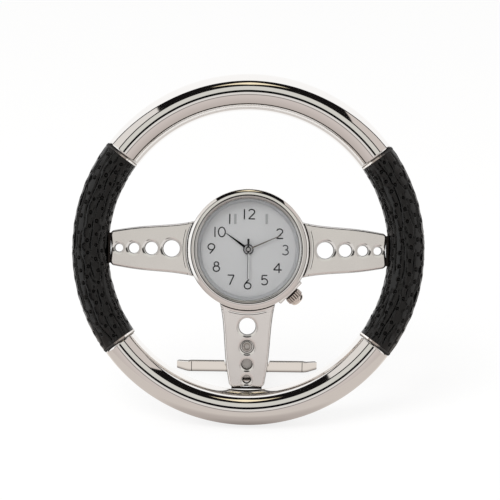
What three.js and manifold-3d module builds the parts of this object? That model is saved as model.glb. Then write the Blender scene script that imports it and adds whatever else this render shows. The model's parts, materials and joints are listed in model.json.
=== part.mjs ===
// Desk clock in the shape of a three-spoke steering wheel, in millimetres, +Z up, front towards -Y.
// The wheel leans back on a pressed foot. In the wheel's own frame X is right, Y is the axis,
// pointing backward, and Z is up along the wheel, so a place is (x, depth, height).
import * as THREE from 'three';
import { mergeVertices } from 'three/addons/utils/BufferGeometryUtils.js';
import Module from 'manifold-3d';

const wasm = await Module();
wasm.setup();

const deg = THREE.MathUtils.degToRad;

// Clearances and the overrun of every cut
const fit = 0.1;
const smallFit = 0.05;
const overrun = 1;
const weldTolerance = 1e-5;

// Rim, grips and lean
const wheelDiameter = 80;
const rimTube = 8.4;
const leanAngle = deg(18);
const gripHalfAngle = deg(36.5);
const gripProud = 0.25;
const gripThickness = 1;
const gripEndGap = 0.3;
const rimSteps = 64;
const rimSides = 16;
const ringSteps = 40;

// Spokes and the hub that holds the clock
const spokeFront = -1.5;
const spokeThickness = 2.4;
const spokeHubWidth = 12.2;
const spokeRimWidth = 7.9;
const spokeEdgeBulge = 0.2;
const hubWall = 0.85;
const hubFront = -2.8;
const hubLength = 5.9;
const holeShares = [[0.2153, 0.1133], [0.4759, 0.0878], [0.7025, 0.072], [0.8952, 0.0567]];
const tenonWidth = 4.2;
const tenonThickness = 1.3;
const tenonDepth = 1.7;

// Clock insert
const bezelOverhang = 0.1;
const bezelHeight = 2.1;
const bezelLipCover = 0.25;
const bezelRise = 0.5;
const bezelLipThickness = 0.35;
const bezelEdgeHeight = 0.75;
const caseRadius = 12.4;
const caseWall = 0.8;
const insertRingThickness = 0.35;
const insertRingLength = 3.2;
const crystalThickness = 1;
const crystalGasketThickness = 0.2;
const dialThickness = 0.4;
const dialDepth = 1.45;
const dialRingWidth = 1.15;
const dialRingSlope = 0.85;
const movementDepth = 4.35;
const lidThickness = 0.55;
const lidRimHeight = 0.6;
const lidRimWidth = 0.9;
const lidGasketThickness = 0.2;

// Movement plates
const holderWall = 1.9;
const dialSideSpace = 0.8;
const plateThickness = 0.6;
const bridgeThickness = 0.4;
const trainSpace = 1.9;
const wheelThickness = 0.15;
const pinionLength = 0.32;
const arborRadius = 0.13;
const pillarRadius = 0.6;
const screwRadius = 0.25;
const screwHeadRadius = 0.55;
const screwHeadHeight = 0.3;

// Hands
const hourHandMargin = 4.25;
const hourHandWidth = 0.34;
const minuteHandMargin = 2.35;
const minuteHandWidth = 0.24;
const secondHandMargin = 3.55;
const secondHandWidth = 0.3;
const secondTailShare = 0.348;
const handThickness = 0.15;
const handSpacing = 0.45;
const hourBossRadius = 1.17;
const minuteBossRadius = 0.96;
const secondBossRadius = 0.6;
const hourTubeRadius = 0.62;
const minuteTubeRadius = 0.38;
const tubeWall = 0.16;
const hourHandAngle = deg(305.7);
const minuteHandAngle = deg(66.2);
const secondHandAngle = deg(180);

// Gears: teeth, and distances between arbors as shares of the plate's radius
const motionDistanceShare = 0.25;
const cannonTeeth = 8;
const motionTeeth = 24;
const motionPinionTeeth = 6;
const hourTeeth = 24;
const thirdDistanceShare = 0.2552;
const secondsPinionTeeth = 6;
const thirdTeeth = 45;
const thirdPinionTeeth = 6;
const centreTeeth = 48;
const fifthDistanceShare = 0.25;
const fifthPinionTeeth = 6;
const secondsTeeth = 30;
const rotorDistanceShare = 0.2333;
const rotorPinionTeeth = 6;
const fifthTeeth = 36;
const motionDirection = deg(-45);
const thirdDirection = deg(60);
const fifthDirection = deg(-120);
const rotorDirection = deg(-90);

// Motor, cell and circuit
const rotorMagnetRadius = 0.6;
const rotorMagnetHeight = 0.6;
const rotorAirGap = 0.2;
const statorThickness = 0.4;
const statorWidthShare = 0.896;
const statorArmWidth = 0.9;
const statorPoleShare = 0.24;
const coilRadius = 0.85;
const coilDistanceShare = 0.271;
const coreWidth = 0.9;
const coreThickness = 0.6;
const cellRadiusShare = 0.354;
const cellHeight = 2.6;
const cellEdgeMargin = 0.25;
const cellSteps = 32;
const cellDirection = deg(150);
const clipWidth = 1.2;
const clipThickness = 0.15;
const boardThickness = 0.3;
const boardWidthShare = 0.323;
const boardFrom = deg(-62);
const boardTo = deg(76);
const boardPostRadius = 0.5;
const canRadius = 0.7;
const canLengthShare = 0.458;
const canDirection = deg(45);

// Crown and stem
const crownDirection = deg(-45);
const crownRadius = 1.95;
const crownKnurlLength = 1.5;
const crownDomeHeight = 1.2;
const crownKnurls = 20;
const crownKnurlDepth = 0.16;
const crownGap = 0.2;
const crownTravel = 0.8;
const crownBoreDepth = 1.1;
const crownTubeRadius = 0.95;
const stemRadius = 0.4;
const bossWidth = 6.8;
const bossProud = 0.2;
const crownGasketLength = 0.5;
const crownGasketThickness = 0.2;
const slidingPinionRadius = 0.7;
const slidingPinionLengthShare = 0.146;
const slidingPinionTeeth = 10;
const setterWidth = 0.9;

// Foot bracket and its rivet
const sheetThickness = 0.9;
const tabWidth = 7.2;
const tabTopMargin = 2.1;
const tabEndGap = 1.2;
const stripFootWidth = 10.5;
const footDistanceShare = 0.255;
const footHeight = 2.75;
const footHalfWidth = 14.3;
const footPadLength = 3.4;
const footPadAngle = deg(39);
const rivetHeadShare = 0.774;
const rivetShankShare = 0.625;
const rivetHeadHeight = 0.6;
const rivetRecess = 0.2;

// Places that follow from the sizes above
const rimRadius = rimTube / 2;
const ringRadius = wheelDiameter / 2 - rimRadius;
const coreRadius = rimRadius + gripProud - gripThickness;
const gripRadius = rimRadius + gripProud;
const wheelCentreZ = ringRadius * Math.cos(leanAngle) + rimRadius;
const spokeBack = spokeFront + spokeThickness;
const caseInside = caseRadius - caseWall;
const hubBore = caseRadius + insertRingThickness + 2 * smallFit;
const hubRadius = hubBore + hubWall;
const hubBack = hubFront + hubLength;
const bezelBack = hubFront - fit;
const bezelFront = bezelBack - bezelHeight;
const bezelRadius = hubRadius + bezelOverhang;
const crystalFront = bezelFront + bezelRise + bezelLipThickness + smallFit;
const crystalBack = crystalFront + crystalThickness;
const crystalRadius = caseRadius - crystalGasketThickness - smallFit;
const bezelInside = crystalRadius - bezelLipCover;
const bezelLipWidth = bezelRadius - bezelInside;
const caseFront = crystalBack + smallFit;
const dialFront = caseFront + dialDepth + smallFit;
const dialBack = dialFront + dialThickness;
const dialRadius = caseInside - smallFit;
const dialOpening = caseInside - dialRingWidth;
const hourHandLength = dialOpening - hourHandMargin;
const minuteHandLength = dialOpening - minuteHandMargin;
const secondHandLength = dialOpening - secondHandMargin;
const secondTailLength = secondTailShare * secondHandLength;
const movementFront = dialBack + smallFit;
const movementBack = movementFront + movementDepth;
const plateFront = movementFront + dialSideSpace;
const plateBack = plateFront + plateThickness;
const plateRadius = caseInside - smallFit - holderWall - smallFit;
const motionDistance = motionDistanceShare * plateRadius;
const thirdDistance = thirdDistanceShare * plateRadius;
const fifthDistance = fifthDistanceShare * plateRadius;
const rotorDistance = rotorDistanceShare * plateRadius;
const statorWidth = statorWidthShare * plateRadius;
const statorPoleHeight = statorPoleShare * plateRadius;
const coilDistance = coilDistanceShare * plateRadius;
const cellRadius = cellRadiusShare * plateRadius;
const cellDistance = plateRadius - cellRadius - cellEdgeMargin;
const boardWidth = boardWidthShare * plateRadius;
const canLength = canLengthShare * plateRadius;
const slidingPinionLength = slidingPinionLengthShare * plateRadius;
const bridgeFront = plateBack + trainSpace;
const bridgeBack = bridgeFront + bridgeThickness;
const lidFront = movementBack + lidRimHeight + smallFit;
const caseBackEdge = lidFront - smallFit;
const crownDepth = plateBack + slidingPinionRadius + smallFit;
const bossDistance = bezelRadius + bossProud;
const crownInner = bossDistance + crownGap;
const spokeLength = ringRadius - gripRadius - hubRadius;
const footDistance = footDistanceShare * wheelDiameter;
const tabEnd = ringRadius - rimRadius - tabEndGap;
const tabFront = spokeBack + fit;
const tabBack = tabFront + sheetThickness;

// Materials
function metal(color, roughness, metalness = 1) {
  return new THREE.MeshStandardMaterial({ color, roughness, metalness });
}
const chrome = metal(0xd6d2cf, 0.06);
const silver = metal(0xc9c8c8, 0.4);
const darkSteel = metal(0x3a3a3d, 0.15);
const paleSteel = metal(0xb9b9bb, 0.3);
const brass = metal(0xc8a252, 0.3);
const copper = metal(0xb4683a, 0.4);
const leather = metal(0x201e1e, 0.4, 0);
const rubber = metal(0x161616, 0.8, 0);
const whitePlastic = metal(0xe4e2da, 0.5, 0);
const greenBoard = metal(0x2c5a3a, 0.5, 0);
const clear = new THREE.MeshStandardMaterial({
  color: 0xf4f6f6,
  roughness: 0.03,
  transparent: true,
  opacity: 0.2,
});

// Closed meshes, and joins and cuts of them
function closed(geometry) {
  const bare = geometry.clone();
  bare.deleteAttribute('normal');
  bare.deleteAttribute('uv');
  const merged = mergeVertices(bare, weldTolerance);
  const index = merged.getIndex().array;
  const kept = [];
  for (let i = 0; i < index.length; i += 3) {
    const [a, b, c] = [index[i], index[i + 1], index[i + 2]];
    if (a !== b && b !== c && c !== a) {
      kept.push(a, b, c);
    }
  }
  merged.setIndex(kept);
  return merged;
}

function solid(geometry) {
  const mesh = closed(geometry);
  return new wasm.Manifold(new wasm.Mesh({
    numProp: 3,
    vertProperties: new Float32Array(mesh.getAttribute('position').array),
    triVerts: new Uint32Array(mesh.getIndex().array),
  }));
}

function geometryOf(manifold) {
  const mesh = manifold.getMesh();
  const geometry = new THREE.BufferGeometry();
  geometry.setAttribute('position', new THREE.BufferAttribute(new Float32Array(mesh.vertProperties), 3));
  geometry.setIndex(new THREE.BufferAttribute(new Uint32Array(mesh.triVerts), 1));
  return geometry;
}

function join(first, ...others) {
  return others.reduce((sum, other) => sum.add(other), first);
}

function cut(first, ...others) {
  return others.reduce((rest, other) => rest.subtract(other), first);
}

// A ring or disc turned about the wheel's axis from corners [radius, depth]
function turned(corners, steps = ringSteps) {
  const points = corners.map(([radius, depth]) => new THREE.Vector2(radius, depth));
  if (corners[0][0] > 0) {
    points.push(points[0].clone());
  }
  return new THREE.LatheGeometry(points, steps);
}

function tubeRing(inner, outer, front, back, steps = ringSteps) {
  return turned([[inner, front], [outer, front], [outer, back], [inner, back]], steps);
}

function disc(radius, front, back, steps = ringSteps) {
  return turned([[0, front], [radius, front], [radius, back], [0, back]], steps);
}

// A flat shape drawn in (x, height) and given its depth along the axis
function plate(shape, front, back, curveSegments = 12) {
  const geometry = new THREE.ExtrudeGeometry(shape, {
    depth: back - front,
    bevelEnabled: false,
    curveSegments,
  });
  return geometry.rotateX(Math.PI / 2).translate(0, back, 0);
}

function polygon(points) {
  return new THREE.Shape(points.map(([x, y]) => new THREE.Vector2(x, y)));
}

function block(fromX, toX, front, back, low, high) {
  return new THREE.BoxGeometry(toX - fromX, back - front, high - low)
    .translate((fromX + toX) / 2, (front + back) / 2, (low + high) / 2);
}

function post(x, height, radius, front, back, steps = 14) {
  return disc(radius, front, back, steps).translate(x, 0, height);
}

function polar(distance, direction) {
  return [distance * Math.cos(direction), distance * Math.sin(direction)];
}

// Rim and grips
function torus(sectionRadius, steps = rimSteps) {
  const corners = [];
  for (let i = 0; i < rimSides; i++) {
    const angle = leanAngle + i * 2 * Math.PI / rimSides;
    corners.push([ringRadius + sectionRadius * Math.cos(angle), sectionRadius * Math.sin(angle)]);
  }
  return solid(turned(corners, steps));
}

function wedge(halfAngle, side) {
  const reach = side * (wheelDiameter / 2 + overrun + gripThickness);
  const rise = Math.abs(reach) * Math.tan(halfAngle);
  const corners = [[0, 0], [reach, -rise], [reach, rise]];
  const shape = polygon(side > 0 ? corners : corners.reverse());
  return solid(plate(shape, -rimTube, rimTube));
}

function tenon(direction, from, clearance) {
  const middle = (spokeFront + spokeBack) / 2;
  const halfWidth = tenonWidth / 2 + clearance;
  const halfThickness = tenonThickness / 2 + clearance;
  const to = from + tenonDepth + clearance;
  const base = from - gripThickness - 2 * overrun;
  return solid(block(base, to, middle - halfThickness, middle + halfThickness, -halfWidth, halfWidth)
    .rotateY(-direction));
}

const spokeDirections = [0, Math.PI, -Math.PI / 2];
const sideSeat = ringRadius - coreRadius;
const bottomSeat = ringRadius - rimRadius;
const tenonSeats = [sideSeat, sideSeat, bottomSeat];

function tenons(clearance) {
  return spokeDirections.map((direction, i) => tenon(direction, tenonSeats[i], clearance));
}

function wheelRim() {
  const sleeveSpace = torus(rimRadius + overrun).subtract(torus(coreRadius));
  const recesses = [1, -1].map((side) => wedge(gripHalfAngle, side).intersect(sleeveSpace));
  return cut(torus(rimRadius), ...recesses, ...tenons(fit));
}

function grip(side) {
  const endGapAngle = gripEndGap / ringRadius;
  const sleeve = torus(gripRadius).subtract(torus(coreRadius + smallFit));
  return cut(wedge(gripHalfAngle - endGapAngle, side).intersect(sleeve), ...tenons(fit));
}

// Spokes and hub
function spokeShape(hubEnd, rimEnd) {
  const hub = spokeHubWidth / 2;
  const rim = spokeRimWidth / 2;
  const middle = (hubEnd + rimEnd) / 2;
  const bulge = (hub + rim) / 2 + spokeEdgeBulge;
  const shape = new THREE.Shape();
  shape.moveTo(hubEnd, -hub);
  shape.quadraticCurveTo(middle, -bulge, rimEnd, -rim);
  shape.lineTo(rimEnd, rim);
  shape.quadraticCurveTo(middle, bulge, hubEnd, hub);
  return shape;
}

const holePlaces = holeShares.map(([along, across]) => ({
  distance: hubRadius + along * spokeLength,
  radius: across * spokeLength,
}));
const rivetPlace = holePlaces[1];
const rivetHeadRadius = rivetHeadShare * rivetPlace.radius;
const rivetRadius = rivetShankShare * rivetHeadRadius;
const rivetSeat = spokeFront + rivetRecess + rivetHeadHeight;

function spokeHoles(direction) {
  const isBottom = direction === -Math.PI / 2;
  return holePlaces.map((place) => {
    const isRivet = isBottom && place === rivetPlace;
    const back = isRivet ? rivetSeat + smallFit : spokeBack + overrun;
    const hole = post(place.distance, 0, place.radius, spokeFront - overrun, back, 16);
    const bore = post(place.distance, 0, rivetRadius + fit, spokeFront, spokeBack + overrun);
    const tool = isRivet ? solid(hole).add(solid(bore)) : solid(hole);
    return tool.rotate([0, -direction * THREE.MathUtils.RAD2DEG, 0]);
  });
}

function crownCut(radius, from, to) {
  return solid(disc(radius, from, to, 16)
    .rotateZ(-Math.PI / 2)
    .rotateY(-crownDirection)
    .translate(0, crownDepth, 0));
}

function wheelSpider() {
  const hub = solid(tubeRing(hubBore, hubRadius, hubFront, hubBack));
  const bossHalf = bossWidth / 2;
  const boss = solid(block(hubBore - overrun, bossDistance, hubFront, hubBack, -bossHalf, bossHalf)
    .rotateY(-crownDirection));
  const spokes = spokeDirections.map((direction, i) => {
    const shape = spokeShape(hubBore, ringRadius - coreRadius + overrun);
    const arm = solid(plate(shape, spokeFront, spokeBack).rotateY(-direction));
    const clearTube = i < 2 ? gripRadius + fit : rimRadius + fit;
    return arm.subtract(torus(clearTube)).subtract(solid(disc(hubBore, hubFront, hubBack)));
  });
  const bossOnly = boss.subtract(solid(disc(hubBore, hubFront - overrun, hubBack + overrun)));
  const body = join(hub, bossOnly, ...spokes, ...tenons(0).map((peg) => peg.subtract(
    solid(disc((hubRadius + ringRadius) / 2 - overrun, hubFront, hubBack)),
  )));
  const holes = spokeDirections.flatMap((direction) => spokeHoles(direction));
  return cut(body, ...holes, crownCut(crownTubeRadius + fit, hubBore - overrun, bossDistance + overrun));
}

// Foot bracket: a tab behind the bottom spoke, a strip that runs back, and a turned-down foot
function tiltedPoint(depth, height) {
  return [
    depth * Math.cos(leanAngle) + height * Math.sin(leanAngle),
    wheelCentreZ + height * Math.cos(leanAngle) - depth * Math.sin(leanAngle),
  ];
}

function standBracket() {
  const half = sheetThickness / 2;
  const tabTop = -(rivetPlace.distance - tabTopMargin);
  const tabHalf = tabWidth / 2;
  const tab = cut(
    solid(block(-tabHalf, tabHalf, tabFront, tabBack, -tabEnd, tabTop)),
    solid(post(0, -rivetPlace.distance, rivetRadius + fit, tabFront - overrun, tabBack + overrun)),
  );
  const tilted = tab.rotate([-leanAngle * THREE.MathUtils.RAD2DEG, 0, 0]).translate([0, 0, wheelCentreZ]);

  const [startY, startZ] = tiltedPoint((tabFront + tabBack) / 2, -tabEnd + half);
  const endY = footDistance + half;
  const endZ = footHeight - half;
  const length = Math.hypot(endY - startY, endZ - startZ);
  const shape = polygon([
    [0, -tabHalf],
    [length + half, -stripFootWidth / 2],
    [length + half, stripFootWidth / 2],
    [0, tabHalf],
  ]);
  const strip = solid(new THREE.ExtrudeGeometry(shape, { depth: sheetThickness, bevelEnabled: false })
    .translate(0, 0, -half)
    .rotateZ(Math.PI / 2)
    .rotateX(Math.atan2(endZ - startZ, endY - startY))
    .translate(0, startY, startZ));

  const padBack = footPadLength * Math.sin(footPadAngle);
  const padOut = footPadLength * Math.cos(footPadAngle);
  const corner = sheetThickness * Math.tan(footPadAngle / 2);
  const tipIn = sheetThickness * Math.sin(footPadAngle);
  const tipBack = sheetThickness * Math.cos(footPadAngle);
  const side = [
    [footHalfWidth, footDistance],
    [footHalfWidth + padOut, footDistance + padBack],
    [footHalfWidth + padOut - tipIn, footDistance + padBack + tipBack],
    [footHalfWidth - corner, footDistance + sheetThickness],
  ];
  const outline = [...side, ...side.map(([x, y]) => [-x, y]).reverse()];
  const foot = solid(new THREE.ExtrudeGeometry(polygon(outline), { depth: footHeight, bevelEnabled: false }));
  return join(tilted, strip, foot);
}

function standRivet() {
  const shankBack = tabBack + smallFit;
  return turned([
    [0, spokeFront + rivetRecess],
    [rivetHeadRadius, spokeFront + rivetRecess],
    [rivetHeadRadius, rivetSeat],
    [rivetRadius, rivetSeat],
    [rivetRadius, shankBack],
    [rivetHeadRadius, shankBack],
    [rivetRadius, shankBack + rivetHeadHeight],
    [0, shankBack + rivetHeadHeight],
  ], 20).translate(0, 0, -rivetPlace.distance);
}

// Clock insert
function bezel() {
  const rebate = caseRadius + smallFit;
  const rebateFront = bezelFront + bezelRise + bezelLipThickness;
  const crestShares = [[0.12, 0.3], [0.3, 0.08], [0.5, 0], [0.72, 0.12], [0.9, 0.42]];
  const edgeFront = bezelBack - bezelEdgeHeight;
  const crest = crestShares.map(([across, down]) => [
    bezelRadius - across * bezelLipWidth,
    bezelFront + down * (edgeFront - bezelFront),
  ]);
  return turned([
    [bezelInside, bezelFront + bezelRise],
    ...crest.reverse().filter(([radius]) => radius > bezelInside),
    [bezelRadius, edgeFront],
    [bezelRadius, bezelBack],
    [rebate, bezelBack],
    [rebate, rebateFront],
    [bezelInside, rebateFront],
  ]);
}

function clockCase() {
  const wall = solid(tubeRing(caseInside, caseRadius, caseFront, caseBackEdge));
  return wall.subtract(crownCut(crownTubeRadius + smallFit, caseInside - overrun, caseRadius + overrun));
}

function insertRing() {
  const front = crownDepth - insertRingLength / 2;
  const back = crownDepth + insertRingLength / 2;
  const inner = caseRadius + smallFit;
  const ring = solid(tubeRing(inner, inner + insertRingThickness, front, Math.min(back, hubBack)));
  return ring.subtract(crownCut(crownTubeRadius + smallFit, caseRadius - overrun, hubRadius));
}

function dialRing() {
  const front = caseFront + smallFit;
  const back = dialFront - smallFit;
  return turned([
    [dialOpening + dialRingSlope, front],
    [dialRadius, front],
    [dialRadius, back],
    [dialOpening, back],
    [dialOpening, back - smallFit],
  ]);
}

function dial() {
  return tubeRing(hourTubeRadius + fit, dialRadius, dialFront, dialBack);
}

function caseBack() {
  const rimOut = caseInside - lidGasketThickness - 2 * smallFit;
  return turned([
    [0, lidFront],
    [rimOut - lidRimWidth, lidFront],
    [rimOut - lidRimWidth, movementBack + smallFit],
    [rimOut, movementBack + smallFit],
    [rimOut, lidFront],
    [caseRadius, lidFront],
    [caseRadius, lidFront + lidThickness],
    [0, lidFront + lidThickness],
  ]);
}

// Movement: plates, pillars and screws
const screwShares = [[0.458, 0.333], [-0.5, -0.208]];
const screwPlaces = screwShares.map((place) => place.map((share) => share * plateRadius));
const thirdPlace = polar(thirdDistance, thirdDirection);
const fifthPlace = polar(fifthDistance, fifthDirection);
const rotorStep = polar(rotorDistance, rotorDirection);
const rotorPlace = [fifthPlace[0] + rotorStep[0], fifthPlace[1] + rotorStep[1]];
const motionPlace = polar(motionDistance, motionDirection);
const boardMiddle = plateRadius - boardWidth / 2 - smallFit;
const boardFront = crownDepth + slidingPinionRadius + fit;
const boardPosts = [boardFrom, boardTo].map((end) => (
  polar(boardMiddle, end * (1 - boardPostRadius / boardMiddle))));

function movementHolder() {
  const outer = caseInside - smallFit;
  const ring = solid(tubeRing(outer - holderWall, outer, movementFront, movementBack));
  const halfHeight = crownTubeRadius + fit;
  const path = solid(block(outer - holderWall - overrun, outer + overrun,
    crownDepth - halfHeight, crownDepth + halfHeight, -halfHeight, halfHeight).rotateY(-crownDirection));
  return ring.subtract(path);
}

function mainPlate() {
  const base = solid(disc(plateRadius, plateFront, plateBack));
  const pillars = screwPlaces.map(([x, z]) => solid(
    post(x, z, pillarRadius, plateFront, bridgeFront - smallFit)));
  const posts = boardPosts.map(([x, z]) => solid(
    post(x, z, boardPostRadius, plateFront, boardFront - smallFit, 12)));
  const stemPost = solid(block(plateRadius - setterWidth, plateRadius - smallFit, plateBack - smallFit,
    crownDepth + stemRadius + 2 * fit, -stemRadius - 2 * fit, stemRadius + 2 * fit).rotateY(-crownDirection));
  const screwHoles = screwPlaces.map(([x, z]) => solid(
    post(x, z, screwRadius + smallFit, plateFront - overrun, bridgeFront + overrun, 10)));
  const bores = [
    [[0, 0], minuteTubeRadius + smallFit],
    [thirdPlace, arborRadius + smallFit],
    [fifthPlace, arborRadius + smallFit],
    [rotorPlace, arborRadius + smallFit],
    [motionPlace, arborRadius + smallFit],
  ].map(([[x, z], radius]) => solid(post(x, z, radius, plateFront - overrun, plateBack + overrun, 10)));
  return cut(join(base, ...pillars, ...posts, stemPost), ...screwHoles, ...bores,
    crownCut(stemRadius + smallFit, plateRadius / 2, plateRadius + overrun));
}

function trainBridge() {
  const [first, second] = screwPlaces;
  const margin = pillarRadius + fit;
  const low = rotorPlace[1] - margin;
  const shape = polygon([
    [second[0] - margin, second[1] - margin],
    [rotorPlace[0] - margin, low],
    [rotorPlace[0] + margin, low],
    [thirdDistance, -fifthDistance],
    [first[0] + margin, first[1] - margin],
    [first[0] + margin, first[1] + margin],
    [thirdPlace[0] - arborRadius, thirdPlace[1] + 2 * margin],
    [-margin, margin],
    [second[0] - margin, second[1] + margin],
  ]);
  const holes = [[0, 0], thirdPlace, fifthPlace, rotorPlace].map(([x, z]) => solid(
    post(x, z, arborRadius + smallFit, bridgeFront - overrun, bridgeBack + overrun, 10)));
  const screwHoles = screwPlaces.map(([x, z]) => solid(
    post(x, z, screwRadius + smallFit, bridgeFront - overrun, bridgeBack + overrun, 10)));
  return cut(solid(plate(shape, bridgeFront, bridgeBack)), ...holes, ...screwHoles);
}

function bridgeScrew() {
  return turned([
    [0, plateBack],
    [screwRadius, plateBack],
    [screwRadius, bridgeBack + smallFit],
    [screwHeadRadius, bridgeBack + smallFit],
    [screwHeadRadius, bridgeBack + smallFit + screwHeadHeight],
    [0, bridgeBack + smallFit + screwHeadHeight],
  ], 12);
}

// Gears: pointed teeth, as shares of the module and of the pitch
const rootShare = 0.9;
const tipShare = 0.7;
const toothHalfShare = 0.28;

function gearShape(teeth, pitchRadius, module) {
  const points = [];
  const root = pitchRadius - rootShare * module;
  const tip = pitchRadius + tipShare * module;
  const step = 2 * Math.PI / teeth;
  for (let i = 0; i < teeth; i++) {
    points.push(polar(root, (i - toothHalfShare) * step));
    points.push(polar(tip, i * step));
    points.push(polar(root, (i + toothHalfShare) * step));
  }
  return polygon(points);
}

function gear(teeth, pitchRadius, module, front, back, turn) {
  return plate(gearShape(teeth, pitchRadius, module), front, back).rotateY(-turn);
}

function moduleOf(distance, teeth, mateTeeth) {
  return 2 * (distance - smallFit) / (teeth + mateTeeth);
}

// A gear pair: the driver has a tooth along the line of centres, the mate has a gap there
function meshed(teeth, mateTeeth, distance, direction, front, back, isMate) {
  const module = moduleOf(distance, teeth, mateTeeth);
  const own = isMate ? mateTeeth : teeth;
  const turn = isMate ? direction + Math.PI + Math.PI / mateTeeth : direction;
  return gear(own, own * module / 2, module, front, back, turn);
}

const layerStep = (trainSpace - pinionLength) / 4;
const layers = [0, 1, 2, 3].map((i) => plateBack + 3 * smallFit + i * layerStep);

function layerWheel(layer, teeth, mateTeeth, distance, direction, isMate) {
  const front = layers[layer];
  return meshed(teeth, mateTeeth, distance, direction, front, front + wheelThickness, isMate);
}

function layerPinion(layer, teeth, mateTeeth, distance, direction, isMate) {
  const front = layers[layer] - smallFit;
  return meshed(teeth, mateTeeth, distance, direction, front, front + pinionLength, isMate);
}

function arbor(radius, front, back) {
  return solid(disc(radius, front, back, 10));
}

const trainEnd = bridgeFront + bridgeThickness / 2;
const hourHandBack = dialFront - handSpacing + handThickness;
const minuteHandBack = hourHandBack - handSpacing;
const secondHandBack = minuteHandBack - handSpacing;

function secondsWheel() {
  return join(
    arbor(arborRadius, secondHandBack - handThickness, trainEnd),
    solid(layerWheel(2, fifthPinionTeeth, secondsTeeth, fifthDistance, fifthDirection + Math.PI, true)),
    solid(layerPinion(1, secondsPinionTeeth, thirdTeeth, thirdDistance, thirdDirection, false)),
  );
}

function thirdWheel() {
  return join(
    arbor(arborRadius, plateFront + smallFit, trainEnd),
    solid(layerWheel(1, secondsPinionTeeth, thirdTeeth, thirdDistance, thirdDirection, true)),
    solid(layerPinion(0, thirdPinionTeeth, centreTeeth, thirdDistance, thirdDirection + Math.PI, false)),
  );
}

function fifthWheel() {
  return join(
    arbor(arborRadius, plateFront + smallFit, trainEnd),
    solid(layerWheel(3, rotorPinionTeeth, fifthTeeth, rotorDistance, rotorDirection + Math.PI, true)),
    solid(layerPinion(2, fifthPinionTeeth, secondsTeeth, fifthDistance, fifthDirection + Math.PI, false)),
  );
}

function rotor() {
  const magnetFront = layers[0];
  return join(
    arbor(arborRadius, plateFront + smallFit, trainEnd),
    solid(disc(rotorMagnetRadius, magnetFront, magnetFront + rotorMagnetHeight, 16)),
    solid(layerPinion(3, rotorPinionTeeth, fifthTeeth, rotorDistance, rotorDirection + Math.PI, false)),
  );
}

function centreWheel() {
  const wheel = solid(
    layerWheel(0, thirdPinionTeeth, centreTeeth, thirdDistance, thirdDirection + Math.PI, true));
  return wheel.subtract(arbor(minuteTubeRadius + smallFit, plateBack - overrun, bridgeBack));
}

const cannonFront = minuteHandBack - handThickness;
const motionWheelFront = plateFront - smallFit - wheelThickness;
const hourWheelFront = movementFront + smallFit;

function cannonPinion() {
  const tube = arbor(minuteTubeRadius, cannonFront, layers[0] + wheelThickness);
  const teeth = meshed(cannonTeeth, motionTeeth, motionDistance, motionDirection,
    motionWheelFront - smallFit, plateFront - smallFit, false);
  return join(tube, solid(teeth))
    .subtract(arbor(minuteTubeRadius - tubeWall, cannonFront - overrun, bridgeBack));
}

function motionWheel() {
  const pinion = meshed(motionPinionTeeth, hourTeeth, motionDistance, motionDirection + Math.PI,
    hourWheelFront - smallFit / 2, motionWheelFront, false);
  return join(
    arbor(arborRadius, hourWheelFront, plateBack - smallFit),
    solid(meshed(cannonTeeth, motionTeeth, motionDistance, motionDirection,
      motionWheelFront, motionWheelFront + wheelThickness, true)),
    solid(pinion),
  );
}

function hourWheel() {
  const wheel = meshed(motionPinionTeeth, hourTeeth, motionDistance, motionDirection + Math.PI,
    hourWheelFront, hourWheelFront + wheelThickness, true);
  const tube = arbor(hourTubeRadius, hourHandBack - handThickness, hourWheelFront + wheelThickness);
  return join(tube, solid(wheel))
    .subtract(arbor(hourTubeRadius - tubeWall, hourHandBack - overrun, plateFront));
}

// Motor, cell and circuit
const coilPlace = [rotorPlace[0], rotorPlace[1] - coilDistance];
const statorFront = layers[0] + fit;
const armInside = statorWidth / 2 - statorArmWidth;

function stator() {
  const half = statorWidth / 2;
  const [x, z] = rotorPlace;
  const top = z + statorPoleHeight / 2;
  const inner = z - statorPoleHeight / 2;
  const low = coilPlace[1] - coreWidth / 2;
  const shape = polygon([
    [x - half, low], [x - armInside, low], [x - armInside, inner],
    [x + armInside, inner], [x + armInside, low], [x + half, low],
    [x + half, inner], [x + rotorDistance, top], [x - rotorDistance, top], [x - half, inner],
  ]);
  const hole = post(x, z, rotorMagnetRadius + rotorAirGap, statorFront - overrun, bridgeBack, 16);
  return cut(solid(plate(shape, statorFront, statorFront + statorThickness)), solid(hole));
}

const coreFront = statorFront + statorThickness + smallFit;

function coilCore() {
  const [x, z] = coilPlace;
  const half = statorWidth / 2;
  return block(x - half, x + half, coreFront, coreFront + coreThickness,
    z - coreWidth / 2, z + coreWidth / 2);
}

function coilWinding() {
  const [x, z] = coilPlace;
  const half = armInside - 2 * fit;
  const depth = coreFront + coreThickness / 2;
  const body = solid(disc(coilRadius, -half, half, 16).rotateZ(-Math.PI / 2).translate(x, depth, z));
  const hollow = solid(block(x - half - overrun, x + half + overrun, coreFront - smallFit,
    coreFront + coreThickness + smallFit, z - coreWidth / 2 - smallFit, z + coreWidth / 2 + smallFit));
  return body.subtract(hollow);
}

function circuitBoard() {
  const shape = new THREE.Shape();
  const outer = plateRadius - smallFit;
  shape.absarc(0, 0, outer, boardFrom, boardTo, false);
  shape.absarc(0, 0, outer - boardWidth, boardTo, boardFrom, true);
  return plate(shape, boardFront, boardFront + boardThickness, 14);
}

function quartzCan() {
  const [x, z] = polar(boardMiddle, canDirection);
  return disc(canRadius, -canLength / 2, canLength / 2, 14)
    .rotateZ(-Math.PI / 2)
    .rotateY(-canDirection + Math.PI / 2)
    .translate(x, boardFront - canRadius - smallFit, z);
}

const cellPlace = polar(cellDistance, cellDirection);
const cellFront = plateBack + smallFit;
const clipFront = cellFront + cellHeight + smallFit;

function cell() {
  return post(...cellPlace, cellRadius, cellFront, cellFront + cellHeight, cellSteps);
}

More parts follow.
